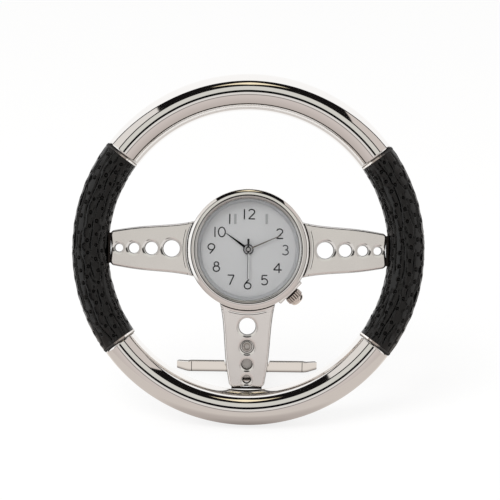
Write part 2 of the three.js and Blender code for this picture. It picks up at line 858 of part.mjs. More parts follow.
function batteryClip() {
  const reach = cellRadius + fit + clipThickness;
  const half = clipWidth / 2;
  const strap = solid(block(-reach, reach, clipFront, clipFront + clipThickness, -half, half));
  const legs = [-1, 1].map((side) => solid(block(
    side > 0 ? reach - clipThickness : -reach, side > 0 ? reach : clipThickness - reach,
    plateBack + smallFit, clipFront + clipThickness, -half, half)));
  return join(strap, ...legs)
    .rotate([0, (Math.PI / 2 - cellDirection) * THREE.MathUtils.RAD2DEG, 0])
    .translate([cellPlace[0], 0, cellPlace[1]]);
}

// Crown and stem, along +X of their own group
const tubeStart = caseInside - caseWall / 2;
const crownTubeEnd = crownInner + crownBoreDepth / 2;
const pinionStart = motionDistance + moduleOf(motionDistance, cannonTeeth, motionTeeth) * motionTeeth / 2
  + crownTravel / 2;
const stemStart = pinionStart - fit;
const stemEnd = crownInner + crownKnurlLength + crownDomeHeight / 3;

function alongX(geometry) {
  return geometry.rotateZ(-Math.PI / 2);
}

function crown() {
  const knurl = gearShape(crownKnurls, crownRadius - crownKnurlDepth, crownKnurlDepth);
  const knurled = solid(plate(knurl, -crownKnurlLength, 0).rotateZ(Math.PI / 2)
    .translate(crownInner, 0, 0));
  const domeRadius = crownRadius - 2 * crownKnurlDepth;
  const domeShares = [[1, 0], [0.96, 0.35], [0.82, 0.65], [0.55, 0.88], [0, 1]];
  const dome = domeShares.map(([across, up]) => [
    across * domeRadius,
    crownInner + crownKnurlLength - overrun / 2 + up * (crownDomeHeight + overrun / 2),
  ]);
  const cap = solid(alongX(turned([[0, dome[0][1]], ...dome], 20)));
  const bore = solid(alongX(disc(crownTubeRadius + crownGasketThickness + smallFit, crownInner - overrun,
    crownInner + crownBoreDepth, 16)));
  const stemHole = solid(alongX(disc(stemRadius + smallFit, crownInner, stemEnd + smallFit, 12)));
  return cut(join(knurled, cap), bore, stemHole);
}

function crownTube() {
  return alongX(tubeRing(stemRadius + fit, crownTubeRadius, tubeStart, crownTubeEnd, 16));
}

function crownGasket() {
  const inner = crownTubeRadius + smallFit / 2;
  const start = crownInner + fit;
  const outer = crownTubeRadius + crownGasketThickness;
  return alongX(tubeRing(inner, outer, start, start + crownGasketLength, 16));
}

function settingStem() {
  return alongX(disc(stemRadius, stemStart, stemEnd, 12));
}

function slidingPinion() {
  const module = slidingPinionRadius / slidingPinionTeeth;
  const teeth = gearShape(slidingPinionTeeth, slidingPinionRadius - module, module);
  const body = solid(plate(teeth, -slidingPinionLength, 0).rotateZ(Math.PI / 2)
    .translate(pinionStart, 0, 0));
  return body.subtract(solid(alongX(disc(stemRadius + smallFit, 0, plateRadius, 12))));
}

function settingSpring() {
  const from = plateRadius - 2 * setterWidth - fit;
  const half = setterWidth / 2;
  const arm = solid(block(from, from + setterWidth, plateBack - crownDepth + smallFit,
    stemRadius / 2, stemRadius + smallFit, stemRadius + smallFit + half));
  const base = solid(block(from, from + setterWidth, plateBack - crownDepth + smallFit,
    plateBack - crownDepth + smallFit + clipThickness, stemRadius, stemRadius + 2 * setterWidth));
  return join(arm, base);
}

// Hands: drawn pointing up, turned clockwise as seen from the front
function handShape(length, width, bossRadius, tail) {
  const half = width / 2;
  const shape = new THREE.Shape();
  const lift = Math.sqrt(bossRadius * bossRadius - half * half);
  const start = Math.atan2(lift, half);
  shape.moveTo(half, lift);
  shape.lineTo(half, length - width);
  shape.lineTo(0, length);
  shape.lineTo(-half, length - width);
  shape.lineTo(-half, lift);
  const turnEnd = tail > 0 ? Math.PI + start : 2 * Math.PI + start;
  shape.absarc(0, 0, bossRadius, Math.PI - start, turnEnd, false);
  if (tail > 0) {
    shape.lineTo(-half, -tail);
    shape.lineTo(half, -tail);
    shape.absarc(0, 0, bossRadius, -start, start, false);
  }
  return shape;
}

function hand(length, width, bossRadius, tail, back, boreRadius, angle) {
  const shape = handShape(length, width, bossRadius, tail);
  const body = solid(plate(shape, back - handThickness, back, 10));
  return body.subtract(arbor(boreRadius, back - overrun, back + overrun)).rotate(
    [0, angle * THREE.MathUtils.RAD2DEG, 0]);
}

// Scene graph
const clock = new THREE.Group();
const wheel = new THREE.Group();
const crownGroup = new THREE.Group();

function add(group, name, shape, material, [x, z] = [0, 0]) {
  const geometry = shape instanceof THREE.BufferGeometry ? closed(shape) : geometryOf(shape);
  const mesh = new THREE.Mesh(geometry, material);
  mesh.name = name;
  mesh.position.set(x, 0, z);
  group.add(mesh);
}

add(wheel, 'wheel_rim', wheelRim(), chrome);
add(wheel, 'wheel_spider', wheelSpider(), chrome);
add(wheel, 'grip_left', grip(-1), leather);
add(wheel, 'grip_right', grip(1), leather);
add(clock, 'stand_bracket', standBracket(), chrome);
add(wheel, 'stand_rivet', standRivet(), chrome);

add(wheel, 'insert_ring', insertRing(), rubber);
add(wheel, 'clock_case', clockCase(), chrome);
add(wheel, 'bezel', bezel(), chrome);
add(wheel, 'crystal', disc(crystalRadius, crystalFront, crystalBack), clear);
add(wheel, 'crystal_gasket',
  tubeRing(crystalRadius + smallFit, caseRadius, crystalFront, crystalBack), rubber);
add(wheel, 'dial_ring', dialRing(), silver);
add(wheel, 'dial', dial(), silver);
add(wheel, 'case_back', caseBack(), paleSteel);
add(wheel, 'case_back_gasket',
  tubeRing(caseInside - lidGasketThickness - smallFit, caseInside - smallFit,
    movementBack + fit, lidFront - fit), rubber);

add(wheel, 'movement_holder', movementHolder(), whitePlastic);
add(wheel, 'main_plate', mainPlate(), whitePlastic);
add(wheel, 'train_bridge', trainBridge(), paleSteel);
screwPlaces.forEach((place, i) => add(wheel, `bridge_screw_${i + 1}`, bridgeScrew(), paleSteel, place));
add(wheel, 'stator', stator(), paleSteel);
add(wheel, 'coil_core', coilCore(), paleSteel);
add(wheel, 'coil_winding', coilWinding(), copper);
add(wheel, 'circuit_board', circuitBoard(), greenBoard);
add(wheel, 'quartz_can', quartzCan(), paleSteel);
add(wheel, 'button_cell', cell(), paleSteel);
add(wheel, 'battery_clip', batteryClip(), paleSteel);

add(wheel, 'rotor', rotor(), darkSteel, rotorPlace);
add(wheel, 'fifth_wheel', fifthWheel(), brass, fifthPlace);
add(wheel, 'third_wheel', thirdWheel(), brass, thirdPlace);
add(wheel, 'seconds_wheel', secondsWheel(), brass);
add(wheel, 'centre_wheel', centreWheel(), brass);
add(wheel, 'cannon_pinion', cannonPinion(), brass);
add(wheel, 'motion_wheel', motionWheel(), whitePlastic, motionPlace);
add(wheel, 'hour_wheel', hourWheel(), brass);

add(wheel, 'hour_hand', hand(hourHandLength, hourHandWidth, hourBossRadius, 0, hourHandBack,
  hourTubeRadius + smallFit, hourHandAngle), darkSteel);
add(wheel, 'minute_hand', hand(minuteHandLength, minuteHandWidth, minuteBossRadius, 0, minuteHandBack,
  minuteTubeRadius + smallFit, minuteHandAngle), darkSteel);
add(wheel, 'second_hand', hand(secondHandLength, secondHandWidth, secondBossRadius, secondTailLength,
  secondHandBack, arborRadius + smallFit, secondHandAngle), paleSteel);

add(crownGroup, 'crown', crown(), chrome);
add(crownGroup, 'crown_tube', crownTube(), brass);
add(crownGroup, 'crown_gasket', crownGasket(), rubber);
add(crownGroup, 'setting_stem', settingStem(), paleSteel);
add(crownGroup, 'sliding_pinion', slidingPinion(), paleSteel);
add(crownGroup, 'setting_spring', settingSpring(), paleSteel);

crownGroup.position.y = crownDepth;
crownGroup.rotation.y = -crownDirection;
wheel.add(crownGroup);
wheel.rotation.x = -leanAngle;
wheel.position.z = wheelCentreZ;
clock.add(wheel);

// The origin is the middle of the box on the ground
clock.updateMatrixWorld(true);
const box = new THREE.Box3().setFromObject(clock, true);
clock.position.set(-(box.min.x + box.max.x) / 2, -(box.min.y + box.max.y) / 2, -box.min.z);

export default clock;
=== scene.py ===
# Desk clock in the shape of a three-spoke steering wheel, leaning back on a pressed foot.
# Pieces are drawn in millimetres in the wheel's own frame, (x, depth, height), where depth
# runs backward along the axle and height up along the wheel, and are then put in place.
import bpy, bmesh, json, math, random
from mathutils import Matrix, Vector, kdtree, noise


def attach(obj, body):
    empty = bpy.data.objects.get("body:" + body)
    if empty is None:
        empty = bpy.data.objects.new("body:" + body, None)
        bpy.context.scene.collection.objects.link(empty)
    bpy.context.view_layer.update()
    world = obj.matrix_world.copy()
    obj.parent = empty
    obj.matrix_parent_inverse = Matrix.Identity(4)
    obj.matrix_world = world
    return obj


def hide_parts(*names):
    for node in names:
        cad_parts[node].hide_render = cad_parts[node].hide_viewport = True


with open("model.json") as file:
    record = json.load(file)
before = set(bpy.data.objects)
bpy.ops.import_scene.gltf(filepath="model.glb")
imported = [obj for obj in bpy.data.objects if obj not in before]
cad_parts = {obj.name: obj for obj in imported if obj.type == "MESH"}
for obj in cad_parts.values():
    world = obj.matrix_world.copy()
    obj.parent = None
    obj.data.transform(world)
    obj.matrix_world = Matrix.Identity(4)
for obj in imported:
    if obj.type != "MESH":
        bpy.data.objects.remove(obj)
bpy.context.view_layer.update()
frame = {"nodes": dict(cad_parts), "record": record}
millimetre = 0.001
degree = math.pi / 180
joints = {joint["name"]: joint for joint in frame["record"]["behaviour"]["joints"]}


def placeOn(jointName, axisAlong):
    # The frame of a joint: its axis lies along X or Y of the drawing
    joint = joints[jointName]
    along = Vector(joint["axis"]).normalized()
    if axisAlong == "Y":
        right, back = Vector((1, 0, 0)), along
    else:
        right, back = along, Vector(joints["seconds_turn"]["axis"]).normalized()
    turn = Matrix((right, back, right.cross(back))).transposed().to_4x4()
    return Matrix.Translation(joint["pos_m"]) @ turn @ Matrix.Scale(millimetre, 4)


wheelPlace = placeOn("seconds_turn", "Y")
crownPlace = placeOn("crown_turn", "X")
bodyMain = "wheel_and_case"


def newObject(name, data):
    thing = bpy.data.objects.new(name, data)
    bpy.context.scene.collection.objects.link(thing)
    return thing


# Shader maths: a wire is an output socket that takes part in sums
def plug(socket, value):
    if isinstance(value, Wire):
        socket.id_data.links.new(value.socket, socket)
    else:
        socket.default_value = value


class Wire:
    def __init__(self, socket):
        self.socket = socket

    def maths(self, operation, *values):
        node = self.socket.id_data.nodes.new("ShaderNodeMath")
        node.operation = operation
        for socket, value in zip(node.inputs, values):
            plug(socket, value)
        return Wire(node.outputs[0])

    def __add__(self, other):
        return self.maths("ADD", self, other)

    def __sub__(self, other):
        return self.maths("SUBTRACT", self, other)

    def __rsub__(self, other):
        return self.maths("SUBTRACT", other, self)

    def __mul__(self, other):
        return self.maths("MULTIPLY", self, other)

    def __truediv__(self, other):
        return self.maths("DIVIDE", self, other)

    def __abs__(self):
        return self.maths("ABSOLUTE", self)

    def atLeast(self, low):
        return self.maths("MAXIMUM", self, low)

    def atMost(self, high):
        return self.maths("MINIMUM", self, high)

    __radd__ = __add__
    __rmul__ = __mul__

    def past(self, edge, soft):
        # 0 below the edge and 1 above it, over a soft stretch
        node = self.socket.id_data.nodes.new("ShaderNodeMapRange")
        node.interpolation_type = "SMOOTHSTEP"
        node.clamp = True
        for name, value in (("Value", self), ("From Min", edge - soft), ("From Max", edge + soft)):
            plug(node.inputs[name], value)
        return Wire(node.outputs[0])

    def between(self, low, high, soft):
        return self.past(low, soft) * (1 - self.past(high, soft))

    def spread(self, low, high):
        # A texture's 0 to 1 set out from low to high
        return self * (high - low) + low


class Recipe:
    def __init__(self, owner):
        self.owner = owner
        owner.use_nodes = True
        self.tree = owner.node_tree
        self.tree.nodes.clear()

    def add(self, kind, settings=None, sockets=None, output=0):
        node = self.tree.nodes.new("ShaderNode" + kind)
        for name, value in (settings or {}).items():
            setattr(node, name, value)
        for name, value in (sockets or {}).items():
            plug(node.inputs[name], value)
        return Wire(node.outputs[output])

    def mix(self, share, first, second):
        return self.add("Mix", {"data_type": "RGBA"}, {0: share, 6: first, 7: second}, 2)

    def noise(self, size, detail):
        # Noise whose features are about size metres across
        spot = self.add("TexCoord", output="Object")
        return self.add("TexNoise", {}, {"Vector": spot, "Scale": 1 / size, "Detail": detail})

    def bump(self, height, distance):
        return self.add("Bump", {}, {"Height": height, "Distance": distance})

    def close(self, shader, kind="OutputMaterial"):
        node = self.tree.nodes.new("ShaderNode" + kind)
        plug(node.inputs["Surface"], shader)
        return self.owner

    def surface(self, sockets):
        return self.close(self.add("BsdfPrincipled", {}, sockets))

    def place(self, axis):
        return self.add("SeparateXYZ", {}, {"Vector": self.add("TexCoord", output="Object")}, axis)

    def layer(self, name):
        return self.add("Attribute", {"attribute_name": name}, output="Fac")


def tone(red, green, blue):
    # A colour as a screen shows it, 0 to 255, in linear light
    def linear(value):
        value /= 255
        return value / 12.92 if value <= 0.04045 else ((value + 0.055) / 1.055) ** 2.4
    return tuple(linear(value) for value in (red, green, blue)) + (1.0,)


# Camera: it looks along the axle, as the photograph does
camera = {
    "distance": 410 * millimetre,
    "sensor": 36,
    "view": 114 * millimetre,      # what the picture's width covers at the wheel
    "sideShift": 0.0034,
    "heightShift": -0.0012,
    "roll": 0.75 * degree,
}
centre = Vector(joints["seconds_turn"]["pos_m"])
frontward = -Vector(joints["seconds_turn"]["axis"]).normalized()
upward = Vector((1, 0, 0)).cross(-frontward)


def makeCamera():
    data = bpy.data.cameras.new("camera")
    data.sensor_width = camera["sensor"]
    data.lens = camera["sensor"] * camera["distance"] / camera["view"]
    data.shift_x, data.shift_y = camera["sideShift"], camera["heightShift"]
    data.clip_start, data.clip_end = 0.01, 20
    eye = newObject("camera", data)
    eye.rotation_mode = "QUATERNION"
    eye.location = centre + frontward * camera["distance"]
    eye.rotation_quaternion = ((-frontward).to_track_quat("-Z", "Y")
                               @ Matrix.Rotation(camera["roll"], 4, "Z").to_quaternion())
    bpy.context.scene.camera = eye


makeCamera()
bpy.context.scene.view_settings.view_transform = "Standard"


# Studio: a white tent whose front opening, hood and table the polished metal mirrors.
# Places are in degrees from the line along the axle, each with its soft edge.
studio = {
    "white": (1.0, 1.0, 1.0, 1.0),
    "wall": (0.9, 0.9, 0.9, 1.0),          # what lights the matt surfaces
    "open": tone(8, 8, 9),
    "openRise": 4.2,
    "openSize": (6.7, 0.8),
    # Below the opening
    "apron": tone(222, 219, 216),
    "apronEnd": (15.5, 1.2),
    "tableEdge": tone(124, 119, 116),
    "tableEdgeEnd": (20, 2.5),
    "tableNear": tone(208, 199, 195),
    "tableFar": tone(184, 175, 170),
    "tableFade": (22, 60),
    "seam": tone(50, 45, 40),
    "seamPlace": (76, 91, 1),
    "tableEnd": (93.5, 1.5),
    "below": tone(214, 209, 205),
    "belowPlace": (111, 136, 4),
    # Above it
    "grey": tone(212, 211, 205),
    "hood": tone(20, 18, 18),
    "hoodStart": (35, 1),
    "hoodFront": (41.5, 0.8),              # where its front strip ends
    "hoodEnd": 74,
    "hoodBack": 7,                         # how wide its back strip is
    "hoodSwing": (0.3, 110),               # from where, and how fast, its back curves away
    "hoodSoft": 0.8,
    "hoodLeft": 0.552,                     # its sides, as sines of the turn aside
    "hoodRight": 0.697,
    "hoodSlant": 0.00175,
    "hoodSideSoft": 0.006,
    "sideLeft": tone(226, 222, 218),
    "sideRight": tone(207, 199, 194),
    "cream": tone(254, 240, 207),
    "lampMiddle": 52.5,
    "lampTaper": 32,
    "lampSize": (7.6, 0.6),
    # At its sides
    "flanks": (0.86, 0.05),
    "flankStart": (16, 3),
    "flankTurn": (0, 0.3),
    "leftFront": (33, 2),
    "leftSeamEnd": (43, 1.2),
    "rightFront": (52, 2),
    "rightSeam": (49, 55, 1),
    "flankFront": tone(188, 184, 180),
    "sideSeam": tone(20, 18, 18),
    "leftCloth": (1.0, 1.0, 0.99, 1.0),
    "rightCloth": tone(236, 233, 230),
    "farSeam": (98, 128, 2),
}


def studioBelow(paint, turn):
    # A pale apron, the table's edge, the table with its far seam, then white cloth
    s = studio
    fadeStart, fadeLength = s["tableFade"]
    fade = ((turn - fadeStart) * (1 / fadeLength)).atLeast(0).atMost(1)
    table = paint(fade, s["tableNear"], s["tableFar"])
    table = paint(turn.past(*s["tableEdgeEnd"]), s["tableEdge"], table)
    lower = paint(turn.past(*s["apronEnd"]), s["apron"], table)
    lower = paint(turn.between(*s["seamPlace"]), lower, s["seam"])
    lower = paint(turn.past(*s["tableEnd"]), lower, s["white"])
    return paint(turn.between(*s["belowPlace"]), lower, s["below"])


def studioAbove(paint, turn, sine, onRight):
    # Grey cloth, the dark hood with a lamp in it and paler cloth at its sides, then white cloth
    s = studio
    swingFrom, swing = s["hoodSwing"]
    spread = (sine - swingFrom).atLeast(0)
    overrun = turn - (s["hoodEnd"] + spread * spread * swing)
    inHood = turn.past(*s["hoodStart"]) * (1 - overrun.past(0, 1))
    backStrip = (overrun + s["hoodBack"]).past(0, s["hoodSoft"])
    strips = inHood * (1 - turn.past(*s["hoodFront"]) * (1 - backStrip))
    hoodSide = s["hoodLeft"] + onRight * (s["hoodRight"] - s["hoodLeft"] - turn * s["hoodSlant"])
    sides = paint(onRight, s["sideLeft"], s["sideRight"])
    above = paint(turn.past(*s["hoodStart"]), s["grey"], sides)
    above = paint(inHood * (1 - sine.past(hoodSide, s["hoodSideSoft"])), above, s["hood"])
    above = paint(strips, above, s["hood"])
    lamp = abs(turn - s["lampMiddle"]) + sine * s["lampTaper"]
    above = paint(1 - lamp.past(*s["lampSize"]), above, s["cream"])
    return paint(overrun.past(0, 1), above, s["white"])


def studioFlank(paint, turn, side):
    # The left and right flanks, each of two cloths with a dark seam
    s = studio
    right = paint(turn.past(*s["rightFront"]), s["flankFront"], s["rightCloth"])
    right = paint(turn.between(*s["rightSeam"]), right, s["sideSeam"])
    left = paint(turn.past(*s["leftSeamEnd"]), s["sideSeam"], s["leftCloth"])
    left = paint(turn.past(*s["leftFront"]), s["flankFront"], left)
    flank = paint(1 - side.past(*s["flankTurn"]), right, left)
    return paint(turn.between(*s["farSeam"]), flank, s["sideSeam"])


def makeWorld():
    world = bpy.data.worlds.new("studio")
    bpy.context.scene.world = world
    recipe = Recipe(world)
    look = recipe.add("TexCoord", output="Generated")

    def along(direction):
        return recipe.add("VectorMath", {"operation": "DOT_PRODUCT"}, {0: look, 1: direction}, "Value")

    s, paint = studio, recipe.mix
    ahead = along(frontward)
    turn = ahead.maths("ARCCOSINE", ahead) / degree
    ring = ahead.maths("SQRT", 1.0001 - ahead * ahead)
    side, height = along((1, 0, 0)) / ring, along(upward) / ring
    sine = abs(side)
    lower, above = studioBelow(paint, turn), studioAbove(paint, turn, sine, side.past(0, 0.02))
    colour = paint(height.past(-0.12, 0.1), lower, above)
    flanks = sine.past(*s["flanks"]) * turn.past(*s["flankStart"])
    colour = paint(flanks, colour, studioFlank(paint, turn, side))

    # The opening itself, then what the matt surfaces and the camera get
    openward = along(Matrix.Rotation(-s["openRise"] * degree, 3, "X") @ frontward)
    opening = openward.maths("ARCCOSINE", openward) / degree
    colour = paint(1 - opening.past(*s["openSize"]), colour, s["open"])
    colour = paint(recipe.add("LightPath", output="Is Glossy Ray"), s["wall"], colour)
    colour = paint(recipe.add("LightPath", output="Is Camera Ray"), colour, s["white"])
    recipe.close(recipe.add("Background", {}, {"Color": colour, "Strength": 1.0}), "OutputWorld")


# Floor: white to the eye; in the metal it shows painted shade, darkest near the object, paler behind it
ground = {
    "radius": 1.5,
    "gap": 0.02 * millimetre,
    "paint": tone(244, 243, 242),
    "glow": 0.8,
    "contactShadow": tone(70, 63, 58),
    "middle": tone(180, 171, 166),
    "near": tone(206, 198, 192),
    "behind": tone(226, 219, 212),
    "middleFrom": (0.0013, 0.0022),
    "nearFrom": (0.006, 0.003),
    "behindFrom": (0.0012, 0.0012),
    "reach": (0.045, 0.0135),
}


def makeFloor():
    g = ground
    bm = bmesh.new()
    bmesh.ops.create_circle(bm, cap_ends=True, segments=64, radius=g["radius"])
    bmesh.ops.translate(bm, verts=bm.verts, vec=(0, 0, -g["gap"]))
    mesh = bpy.data.meshes.new("floor")
    bm.to_mesh(mesh)
    bm.free()
    floor = newObject("floor", mesh)
    recipe = Recipe(bpy.data.materials.new("floorPaint"))
    matte = recipe.add("BsdfDiffuse", {}, {"Color": g["paint"]})
    glow = recipe.add("Emission", {}, {"Color": studio["white"], "Strength": 1.0})
    seen, mirrored, length = (recipe.add("LightPath", output=name) for name in
                              ("Is Camera Ray", "Is Glossy Ray", "Ray Length"))
    # Painted shade for the metal: a contact shadow close by, paler further off and behind the wheel
    shade = recipe.mix(length.past(*g["middleFrom"]), g["contactShadow"], g["middle"])
    shade = recipe.mix(length.past(*g["nearFrom"]), shade, g["near"])
    behind = recipe.place("Y").past(0, 0.004)
    shade = recipe.mix(behind * length.past(*g["behindFrom"]), shade, g["behind"])
    shaded = recipe.add("Emission", {}, {"Color": shade, "Strength": 1.0})
    clear = recipe.add("BsdfTransparent")
    inMetal = recipe.add("MixShader", {}, {0: length.past(*g["reach"]), 1: shaded, 2: clear})
    inView = recipe.add("MixShader", {}, {0: seen * g["glow"], 1: matte, 2: glow})
    mesh.materials.append(recipe.close(recipe.add("MixShader", {}, {0: mirrored, 1: inView, 2: inMetal})))


keyLamp = {"place": Vector((-0.25, -0.35, 0.55)), "size": 0.4, "power": 2.4}


def makeLamp():
    data = bpy.data.lights.new("keyLamp", "AREA")
    data.shape, data.size, data.energy = "DISK", keyLamp["size"], keyLamp["power"]
    lamp = newObject("keyLamp", data)
    lamp.location = keyLamp["place"]
    lamp.rotation_mode = "QUATERNION"
    lamp.rotation_quaternion = (centre - keyLamp["place"]).to_track_quat("-Z", "Y")
    lamp.visible_glossy = False


makeWorld()
makeFloor()
makeLamp()
print("camera, studio and floor made")


# Shapes
def section(corners, closed):
    # A wire to be turned: corners (radius, depth) about the axle, or (along, radius) about X
    bm = bmesh.new()
    verts = [bm.verts.new((*corner, 0)) for corner in corners]
    for pair in zip(verts, verts[1:] + verts[:1] if closed else verts[1:]):
        bm.edges.new(pair)
    return bm


def spinRound(bm, steps, turn=2 * math.pi, axis=(0, 1, 0)):
    bmesh.ops.spin(bm, geom=bm.verts[:] + bm.edges[:], axis=axis, cent=(0, 0, 0),
                   angle=turn, steps=steps, use_merge=abs(turn) > 6.28, use_duplicate=False)
    return bm


def lathe(corners, steps, closed=True, axis=(0, 1, 0)):
    bm = spinRound(section(corners, closed), steps, axis=axis)
    bmesh.ops.remove_doubles(bm, verts=bm.verts, dist=1e-4)
    bmesh.ops.recalc_face_normals(bm, faces=bm.faces)
    return bm


def soften(bm, width, segments=3, least=40):
    # Rounds every edge that is sharper than least degrees
    sharp = [edge for edge in bm.edges
             if len(edge.link_faces) == 2 and edge.calc_face_angle(0) > least * degree]
    bmesh.ops.bevel(bm, geom=sharp, offset=width, affect="EDGES", segments=segments, profile=0.5,
                    material=-1, clamp_overlap=True)
    return bm


def finishPiece(name, bm, material, body=bodyMain, nodes=(), place=None, sharp=40, flat=False):
    bmesh.ops.remove_doubles(bm, verts=bm.verts, dist=1e-4)
    bmesh.ops.recalc_face_normals(bm, faces=bm.faces)
    bm.transform(place or wheelPlace)
    mesh = bpy.data.meshes.new(name)
    bm.to_mesh(mesh)
    bm.free()
    if sharp:
        mesh.shade_smooth()
        mesh.set_sharp_from_angle(angle=sharp * degree)
    mesh.materials.append(material)
    piece = newObject(name, mesh)
    if flat:
        weigh = piece.modifiers.new("flatFaces", "WEIGHTED_NORMAL")
        weigh.mode, weigh.keep_sharp, weigh.weight = "FACE_AREA", True, 90
    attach(piece, body)
    if nodes:
        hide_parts(*nodes)
    return piece


def turnBy(bm, angle):
    # About the axle
    bm.transform(Matrix.Rotation(angle, 4, "Y"))


def closeEnds(bm):
    ends = [edge for edge in bm.edges if edge.is_boundary]
    return bmesh.ops.holes_fill(bm, edges=ends, sides=0)["faces"]


def block(size, middle):
    bm = bmesh.new()
    bmesh.ops.create_cube(bm, size=1)
    bmesh.ops.scale(bm, verts=bm.verts, vec=size)
    bmesh.ops.translate(bm, verts=bm.verts, vec=middle)
    return bm


def traced(data, runs):
    # A curve through runs of points (x, y), each a ring or open, as a bmesh
    for points, isRing in runs:
        spline = data.splines.new("POLY")
        spline.points.add(len(points) - 1)
        for point, (x, y) in zip(spline.points, points):
            point.co = (x, y, 0, 1)
        spline.use_cyclic_u = isRing
    curve = newObject("curve", data)
    mesh = bpy.data.meshes.new_from_object(curve.evaluated_get(bpy.context.evaluated_depsgraph_get()))
    bm = bmesh.new()
    bm.from_mesh(mesh)
    bpy.data.objects.remove(curve)
    bpy.data.curves.remove(data)
    bpy.data.meshes.remove(mesh)
    return bm


# From the plane of a curve to (x, height), its thickness becoming depth
upright = Matrix.Rotation(math.pi / 2, 4, "X")


def flatPlate(outlines, front, back, bevel, fine):
    # A flat outline with holes, given its thickness and rounded edges
    data = bpy.data.curves.new("outline", "CURVE")
    data.dimensions, data.fill_mode = "2D", "BOTH"
    data.extrude = (back - front) / 2 - bevel
    data.bevel_depth, data.bevel_resolution, data.offset = bevel, fine, -bevel
    bm = traced(data, [(points, True) for points in outlines])
    bm.transform(Matrix.Translation((0, (front + back) / 2, 0)) @ upright)
    bmesh.ops.remove_doubles(bm, verts=bm.verts, dist=1e-4)
    return bm


def smooth(share):
    share = min(max(share, 0), 1)
    return share * share * (3 - 2 * share)


def joinInto(bm, other):
    joined = bpy.data.meshes.new("joined")
    other.to_mesh(joined)
    other.free()
    bm.from_mesh(joined)
    bpy.data.meshes.remove(joined)


def arc(x, y, radius, start, end, steps):
    return [(x + radius * math.cos(start + (end - start) * i / steps),
             y + radius * math.sin(start + (end - start) * i / steps)) for i in range(steps + 1)]


# Metals
def polishedMetal(name, colour, roughness, smear=0.02):
    recipe = Recipe(bpy.data.materials.new(name))
    wipe = recipe.noise(0.004, 3)
    waves = recipe.noise(0.006, 1)
    tint = recipe.mix(wipe, colour, tuple(value * 0.97 for value in colour[:3]) + (1.0,))
    return recipe.surface({
        "Base Color": tint, "Metallic": 1.0,
        "Roughness": wipe.spread(roughness, roughness + smear),
        "Normal": recipe.bump(waves, 0.00002)})


# Darkened chrome for gaps, grooves and creases: painted shade
seamShade = polishedMetal("seamShade", tone(46, 42, 40), 0.45, 0.1)
# Darkened chrome for side walls and edges: painted shade
wallShade = polishedMetal("wallShade", tone(92, 86, 82), 0.4, 0.1)
# Darker satin steel: painted shade on the stand's upright strip and tab; the rivet shares it
shadedSteel = polishedMetal("shadedSteel", tone(214, 210, 207), 0.3, 0.08)
lipMetal = polishedMetal("lipMetal", tone(205, 205, 204), 0.25, 0.06)
chrome = polishedMetal("chromePlate", tone(249, 247, 245), 0.03)
satinChrome = polishedMetal("satinChrome", tone(247, 243, 241), 0.13, 0.05)

# Rim: two chrome arcs on one core, with grips between them
rim = {
    "ringRadius": 35.8,
    "radius": 4.2,
    "coreRadius": 3.45,
    "gripHalfAngle": 36.5 * degree,
    "endRound": 0.55,
    "pushOut": 0.42,               # the lower arc's front and inner side lie this much further out
    "pushLean": 0.18,              # and more so on its left
    "sectionSteps": 72,
    "arcSteps": 150,
}


def tubeSection(ringRadius, radius, steps):
    bm = bmesh.new()
    bmesh.ops.create_circle(bm, cap_ends=False, segments=steps, radius=radius)
    bmesh.ops.translate(bm, verts=bm.verts, vec=(ringRadius, 0, 0))
    return bm


def pushOut(bm):
    # The front and inner side move outward, fading toward the outer edge and the back
    for vert in bm.verts:
        outward = Vector((vert.co.x, 0, vert.co.z)).normalized()
        across = (math.hypot(vert.co.x, vert.co.z) - rim["ringRadius"]) / rim["radius"]
        depth = vert.co.y / rim["radius"]
        if depth < 0:
            share = 1 - max(across, 0) ** 4
        else:
            share = 1 - depth ** 4 if across < 0 else 0
        vert.co += outward * (rim["pushOut"] - rim["pushLean"] * outward.x) * max(share, 0)


def rimArc(name, isLower, nodes=()):
    middle = -math.pi / 2 if isLower else math.pi / 2
    half = math.pi / 2 - rim["gripHalfAngle"]
    bm = tubeSection(rim["ringRadius"], rim["radius"], rim["sectionSteps"])
    turnBy(bm, half - middle)
    spinRound(bm, rim["arcSteps"], -2 * half)
    closeEnds(bm)
    bmesh.ops.recalc_face_normals(bm, faces=bm.faces)
    soften(bm, rim["endRound"], 5)
    if isLower:
        pushOut(bm)
    finishPiece(name, bm, chrome, nodes=nodes)


rimArc("rim_arc_upper", False, ["wheel_rim"])
rimArc("rim_arc_lower", True)
core = spinRound(tubeSection(rim["ringRadius"], rim["coreRadius"], 24), 96)
finishPiece("rim_core", core, satinChrome)
print("rim made")

# Spokes: dished plates with four holes each, on the hub ring
spokes = {
    "directions": (0, math.pi, -math.pi / 2),
    "front": -1.5,
    "back": 0.9,
    "dish": 0.085,                 # how much a spoke falls back for each millimetre outward
    "dishFrom": 23,
    "hubWidth": 12.2,
    "rimWidth": 7.9,
    "bulge": 0.14,
    "wave": 0.14,                  # narrower near the hub, fuller near the rim
    "flare": 0.25,
    "start": 13.3,
    "ends": (31.45, 31.45, 31.4),
    "cornerRound": 1.0,
    "edgeRound": 0.44,
    "draft": 0.13,                 # how much wider the plate is at its back
    "holes": [(17.5, 2.0), (22.1, 1.55), (26.1, 1.27), (29.5, 1.0)],
    "sinkWidth": 0.52,
    "sinkDepth": 0.34,             # as a share of the edge's round
    "collarProud": 0.008,
    # A shallow step round each hole: how far beyond its wall, and how deep
    "step": [(0.52, 0), (0.5, 0.003), (0.44, 0.013), (0.32, 0.033), (0.26, 0.042), (0.22, 0.045),
             (0.1, 0.048), (0.03, 0.07), (0, 0.14)],
}


